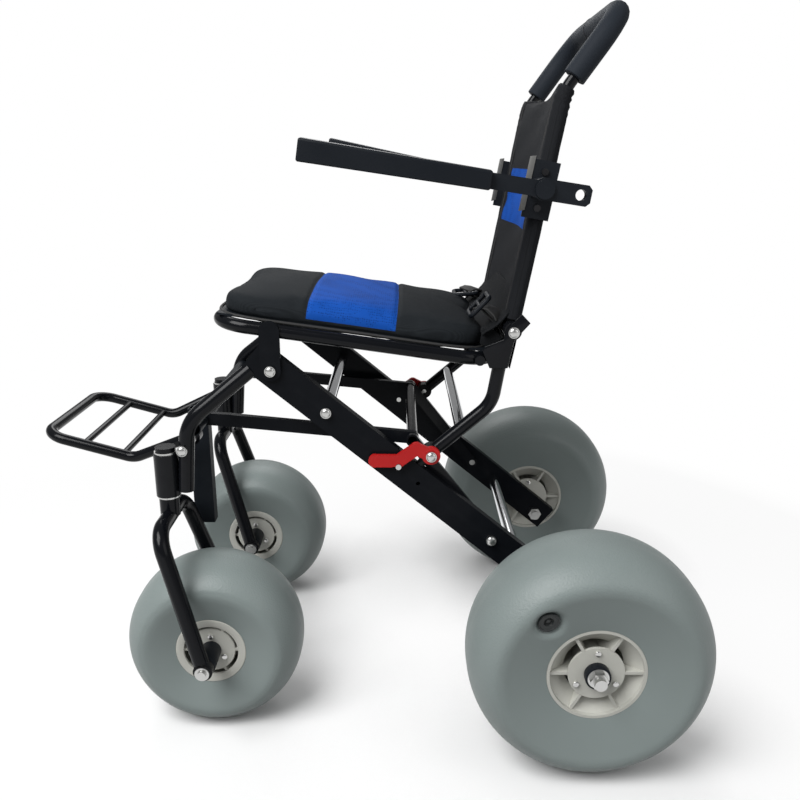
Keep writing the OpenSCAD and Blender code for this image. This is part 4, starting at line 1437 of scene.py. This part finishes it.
@dataclass
class LapBelt:
    """The lap belt's two webbing halves, each with a slide and a loose tail, laid over the seat's rear edge.

    A pair that begins with slide_ or is named sink holds the left half's value and the right half's.
    """

    width: float = 0.038
    thick: float = 0.0022
    middle: float = 0.109
    climb: Outline = ((-0.0108, 0.0), (-0.0108, 0.018), (-0.0102, 0.032), (-0.0068, 0.041), (0.001, 0.0464))
    slide: Pair = (0.036, 0.046)
    slide_x: float = 0.025
    slide_z: Pair = (0.066, 0.0510)
    slide_tilt: Pair = (math.radians(54), math.radians(12))
    under: float = 0.001
    corner: float = 0.006
    corner_steps: int = 5
    bar: float = 0.0034
    cross_share: float = 0.85
    tail_way: Pair = (0.5, 0.86)
    tail_share: float = 0.9
    tail_thick: float = 1.4
    drape: tuple[Point, ...] = (
        (0.026, 0.112, 0.0615), (0.017, 0.117, 0.0655), (0.007, 0.123, 0.0650), (-0.002, 0.128, 0.0590),
        (-0.007, 0.131, 0.0520),
    )
    sink: Pair = (0.0, 0.007)
    kept: float = 0.1
    crush: float = 0.043

    def give(self, piece: Piece) -> None:
        """Gives a piece a mesh of its own.

        Args:
            piece: The piece.
        """
        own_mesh(piece)

    def strap(self, side: Side) -> None:
        """Runs one half up from the loop's rear bar, over the cushion and into its slide.

        Args:
            side: The half's side.
        """
        x, z = self.climb[-1]
        run, rise = self.slide_x - x, self.slide_z[side.index] - self.under - z
        slope = [(x + run * share, z + rise * share) for share in (0.25, 0.5, 0.75, 1.0)]
        route = [Vector((x, side.value * self.middle, z)) for x, z in (*self.climb, *slope)]
        belt = Bench.strap(f"belt_{side.word}", route, Vector((0, self.width, 0)), self.thick)
        hand_in(Bench.place(belt, SEAT_FRAME), WEBBING, "seat_unit", ("lap_belt",))
        self.give(belt)

    def tail(self, side: Side) -> None:
        """Drapes the loose end out of the slide, back over the apron.

        Args:
            side: The half's side.
        """
        forward, outward = self.tail_way
        across = Vector((forward, side.value * outward, 0)).normalized() * self.width * self.tail_share
        route = [Vector((x, side.value * y, z - self.sink[side.index])) for x, y, z in self.drape]
        belt = Bench.strap(f"belt_tail_{side.word}", route, across, self.thick * self.tail_thick)
        hand_in(Bench.place(belt, SEAT_FRAME), WEBBING, "seat_unit")
        self.give(belt)

    def buckle(self, side: Side) -> None:
        """Bends a bar into the slide's frame and sets its middle bar.

        Args:
            side: The half's side.
        """
        half_x, half_y = self.slide[0] / 2, self.slide[1] / 2
        in_x, in_y = half_x - self.corner, half_y - self.corner
        ring = []
        for i, (sx, sy) in enumerate(((1, 1), (-1, 1), (-1, -1), (1, -1))):
            for k in range(self.corner_steps + 1):
                turn = math.pi / 2 * (i + k / self.corner_steps)
                x, y = math.cos(turn) * self.corner, math.sin(turn) * self.corner
                ring.append(Vector((sx * in_x + x, sy * in_y + y, 0)))
        frame_bar = Bench.tube(f"slide_{side.word}", ring, self.bar, closed=True)
        ends = [Vector((0, -half_y, 0)), Vector((0, half_y, 0))]
        cross = Bench.tube("slide_bar", ends, self.bar * self.cross_share)
        piece = Bench.join(f"slide_{side.word}", [frame_bar, cross])
        lift = Matrix.Translation(Vector((self.slide_x, side.value * self.middle, self.slide_z[side.index])))
        Bench.place(piece, SEAT_FRAME @ lift @ Matrix.Rotation(self.slide_tilt[side.index], 4, "Y"))
        hand_in(Bench.smooth(piece, 60), BLACK_MOULD, "seat_unit", ("belt_buckle",))
        self.give(piece)

    def build(self) -> None:
        """Builds both halves."""
        for side in Side:
            self.strap(side)
            self.tail(side)
            self.buckle(side)


@dataclass
class ArmPad:
    """An armrest's moulded pad, deeper at the front and rounded all over; rise holds the left's and the right's."""

    side: Side
    pivot: Point = (-0.237799, 0.208, 0.766878)
    rise: Pair = (math.radians(8.8), math.radians(11.3))
    start: float = 0.068
    length: float = 0.240
    width: float = 0.040
    height: float = 0.028
    taper: float = 0.84
    crown: float = 0.0012
    crown_from: float = 0.3
    rounding: float = 0.007
    cuts: int = 7

    def build(self) -> None:
        """Shapes a finely cut box into the pad."""
        size, place = (self.length, self.width, self.height), (self.start + self.length / 2, 0, 0)
        pad = Bench.box(f"arm_cushion_{self.side.word}", size, self.cuts, place)
        points = Bench.points(pad)
        x, y, z = points.T
        z *= self.taper + (1 - self.taper) * (x - self.start) / self.length
        z += np.where(z > self.height * self.crown_from, self.crown * (1 - (y / (self.width / 2)) ** 2), 0)
        Bench.set_points(pad, points)
        Bench.smooth(Bench.bevel(pad, self.rounding, 5, 50), 50)
        x, y, z = self.pivot
        turn = Matrix.Rotation(-self.rise[self.side.index], 4, "Y")
        Bench.place(pad, Matrix.Translation(Vector((x, y * self.side.value, z))) @ turn)
        hand_in(pad, BLACK_MOULD, f"armrest_{self.side.word}", (f"arm_pad_{self.side.word}",))


@dataclass
class Fasteners:
    """Domed heads on the frame's bolts."""

    radius: float = 0.0066
    height: float = 0.0032
    heads: dict[str, tuple[Point, ...]] = field(default_factory=lambda: {
        "chassis": (
            (0.1185, 0.1836, 0.526), (-0.1915, 0.178, 0.2707), (0.0445, 0.178, 0.4653), (-0.2315, 0.178, 0.2378),
            (0.2415, 0.203, 0.418),
        ),
        "seat_unit": ((-0.2115, 0.1855, 0.580), (-0.1025, 0.1874, 0.404)),
    })

    def build(self) -> None:
        """Builds one joined piece of domes for each body."""
        for body, places in self.heads.items():
            domes = [
                Bench.dome("dome", self.radius, self.height, (x, side.value * y, z))
                for x, y, z in places for side in Side
            ]
            hand_in(Bench.smooth(Bench.join(f"bolt_domes_{body}", domes)), ZINC, body)


@dataclass
class AxleSleeves:
    """The black sleeves between the hubs and their nuts or forks, each as radius, inner end and outer end."""

    rear: Point = (0.0168, 0.3443, 0.3557)
    front: Point = (0.0145, 0.0464, 0.0888)
    rounding: float = 0.001

    def sleeve(self, size: Point, axle: Pair, start: float, way: int) -> Piece:
        """Makes one sleeve.

        Args:
            size: Its radius, and its inner and outer end from the start.
            axle: The axle's X and Z.
            start: Where its ends count from, along Y.
            way: The sign of the way that they count.

        Returns:
            The new piece.
        """
        radius, inner, outer = size
        x, z = axle
        piece = Bench.drum("sleeve", radius, outer - inner, (x, start + way * (inner + outer) / 2, z))
        return Bench.bevel(piece, self.rounding, 2)

    def build(self) -> None:
        """Builds the rear pair on the chassis and a pair on each fork."""
        rear = [self.sleeve(self.rear, (REAR_AXLE_X, REAR_RADIUS), 0.0, side.value) for side in Side]
        hand_in(Bench.smooth(Bench.join("axle_sleeves", rear)), BLACK_MOULD, "chassis")
        for side in Side:
            middle = side.value * FRONT_WHEEL_Y
            pair = [self.sleeve(self.front, (FRONT_AXLE_X, FRONT_RADIUS), middle, way) for way in (1, -1)]
            piece = Bench.smooth(Bench.join(f"caster_sleeves_{side.word}", pair))
            hand_in(piece, BLACK_MOULD, f"fork_{side.word}")


@dataclass
class Studio:
    """The pale floor, soft lamps and the camera."""

    eye: Point = (-0.0586, 1.2381, 0.7932)
    pitch: float = math.radians(90 - 16.22)
    lens: float = 36.0
    sensor: float = 36.0
    clip: float = 0.05
    aim: Point = (0, 0, 0.45)
    floor_size: float = 40
    floor_seen: Colour = (0.86, 0.86, 0.86)
    floor_lit: Colour = (0.28, 0.28, 0.28)
    white_from: Pair = (0.55, 1.25)
    shade_reach: float = 0.24
    shade_from: float = 0.7
    open_white: float = 0.88
    sky_light: Pair = (0.27, 1.0)
    lamps: tuple[tuple[str, Point, float, float], ...] = (
        ("key_lamp", (1.3, 1.5, 2.5), 1.8, 102),
        ("fill_lamp", (-1.8, 1.4, 1.5), 1.6, 10),
        ("back_lamp", (0.4, -1.9, 2.1), 1.6, 24),
    )

    @staticmethod
    def seen(tree: Tree) -> Socket:
        """Tells what the camera, a reflection or a clear piece looks at.

        Args:
            tree: The floor's nodes.

        Returns:
            One for what is seen, and zero for light that falls on the chair.
        """
        path = tree.add("ShaderNodeLightPath").outputs
        direct = tree.math("MAXIMUM", path["Is Camera Ray"], path["Is Glossy Ray"])
        return tree.math("MAXIMUM", direct, path["Is Transmission Ray"])

    def floor(self) -> None:
        """Lays a wide pale floor that takes the chair's shadow and runs out into plain white."""
        Bench.clear()
        bpy.ops.mesh.primitive_plane_add(size=self.floor_size, location=(0, 0, 0))
        ground = Bench.named("studio_floor")
        material = bpy.data.materials.new("pale_floor")
        material.use_nodes = True
        tree, nodes = Tree(material.node_tree), material.node_tree.nodes
        seen = self.seen(tree)
        shader = nodes["Principled BSDF"]
        tone = tree.mix(seen, self.floor_lit, self.floor_seen)
        tree.feed(shader, {"Base Color": tone, "Roughness": 0.9, "Specular IOR Level": 0.1})
        spot = tree.add("ShaderNodeTexCoord").outputs["Object"]
        away = tree.add("ShaderNodeVectorMath", {0: spot}, operation="LENGTH").outputs["Value"]
        near, far = self.white_from
        fade = tree.step({"Value": away, "From Min": near, "From Max": far})
        clear = tree.add("ShaderNodeAmbientOcclusion", {"Distance": self.shade_reach}, samples=8).outputs["AO"]
        open_floor = tree.step({"Value": clear, "From Min": self.shade_from, "To Max": self.open_white})
        plain = tree.math("MULTIPLY", tree.math("MAXIMUM", fade, open_floor), seen)
        white = tree.add("ShaderNodeEmission").outputs[0]
        blend = tree.add("ShaderNodeMixShader", {0: plain, 1: shader.outputs[0], 2: white})
        tree.feed(nodes["Material Output"], {"Surface": blend.outputs[0]})
        ground.data.materials.append(material)

    def lamp(self, name: str, place: Point, size: float, power: float) -> None:
        """Hangs one square lamp that faces the chair.

        Args:
            name: The lamp's name.
            place: Where it hangs.
            size: Its side.
            power: Its power in watts.
        """
        Bench.clear()
        bpy.ops.object.light_add(type="AREA", location=place)
        lamp = Bench.named(name)
        lamp.data.shape, lamp.data.size, lamp.data.energy = "SQUARE", size, power
        lamp.rotation_euler = (Vector(self.aim) - Vector(place)).to_track_quat("-Z", "Y").to_euler()

    def sky(self) -> None:
        """Lights the room evenly, and shows white behind the chair."""
        world = bpy.data.worlds[0] if bpy.data.worlds else bpy.data.worlds.new("studio")
        bpy.context.scene.world = world
        world.use_nodes = True
        tree = Tree(world.node_tree)
        tree.tree.nodes.clear()
        camera = tree.add("ShaderNodeLightPath").outputs["Is Camera Ray"]
        strength = tree.span(camera, *self.sky_light)
        back = tree.add("ShaderNodeBackground", {"Color": (1, 1, 1, 1), "Strength": strength})
        tree.add("ShaderNodeOutputWorld", {"Surface": back.outputs[0]})

    def camera(self) -> None:
        """Sets the camera where the photograph was taken from."""
        Bench.clear()
        bpy.ops.object.camera_add(location=self.eye, rotation=(self.pitch, 0, math.pi))
        camera = Bench.named("photo_camera")
        camera.data.lens, camera.data.sensor_width = self.lens, self.sensor
        camera.data.clip_start = self.clip
        bpy.context.scene.camera = camera

    def build(self) -> None:
        """Builds the studio."""
        self.floor()
        self.sky()
        for lamp in self.lamps:
            self.lamp(*lamp)
        self.camera()
        bpy.context.scene.view_settings.view_transform = "Standard"


def dress_frame() -> None:
    """Gives every node of the frame its finish."""
    for finish, stems in NODE_FINISH.items():
        for name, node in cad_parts.items():
            if name in stems or name.removesuffix("_left").removesuffix("_right") in stems:
                dress(node, finish)
    bare = [name for name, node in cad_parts.items() if not node.data.materials]
    LOG.info("nodes without a finish: %s", bare)


def main() -> None:
    """Builds the chair's pieces in order, then the studio."""
    logging.basicConfig(level=logging.INFO, format="%(message)s")
    dress_frame()
    for side in Side:
        rear = Vector((REAR_AXLE_X, side.value * REAR_WHEEL_Y, REAR_RADIUS))
        front = Vector((FRONT_AXLE_X, side.value * FRONT_WHEEL_Y, FRONT_RADIUS))
        Wheel(Axle.REAR, side, rear, REAR_RADIUS, half_width=0.090, rim=0.0655, face=0.058).build()
        Wheel(Axle.FRONT, side, front, FRONT_RADIUS, half_width=0.071, rim=0.0505, face=0.050).build()
        ArmPad(side).build()
    for assembly in (
        SeatPad, BackSleeve, BackApron, HingePlates, BracketLiners, PushHandle, LapBelt, Fasteners, AxleSleeves, Studio,
    ):
        assembly().build()


if __name__ == "__main__":
    main()
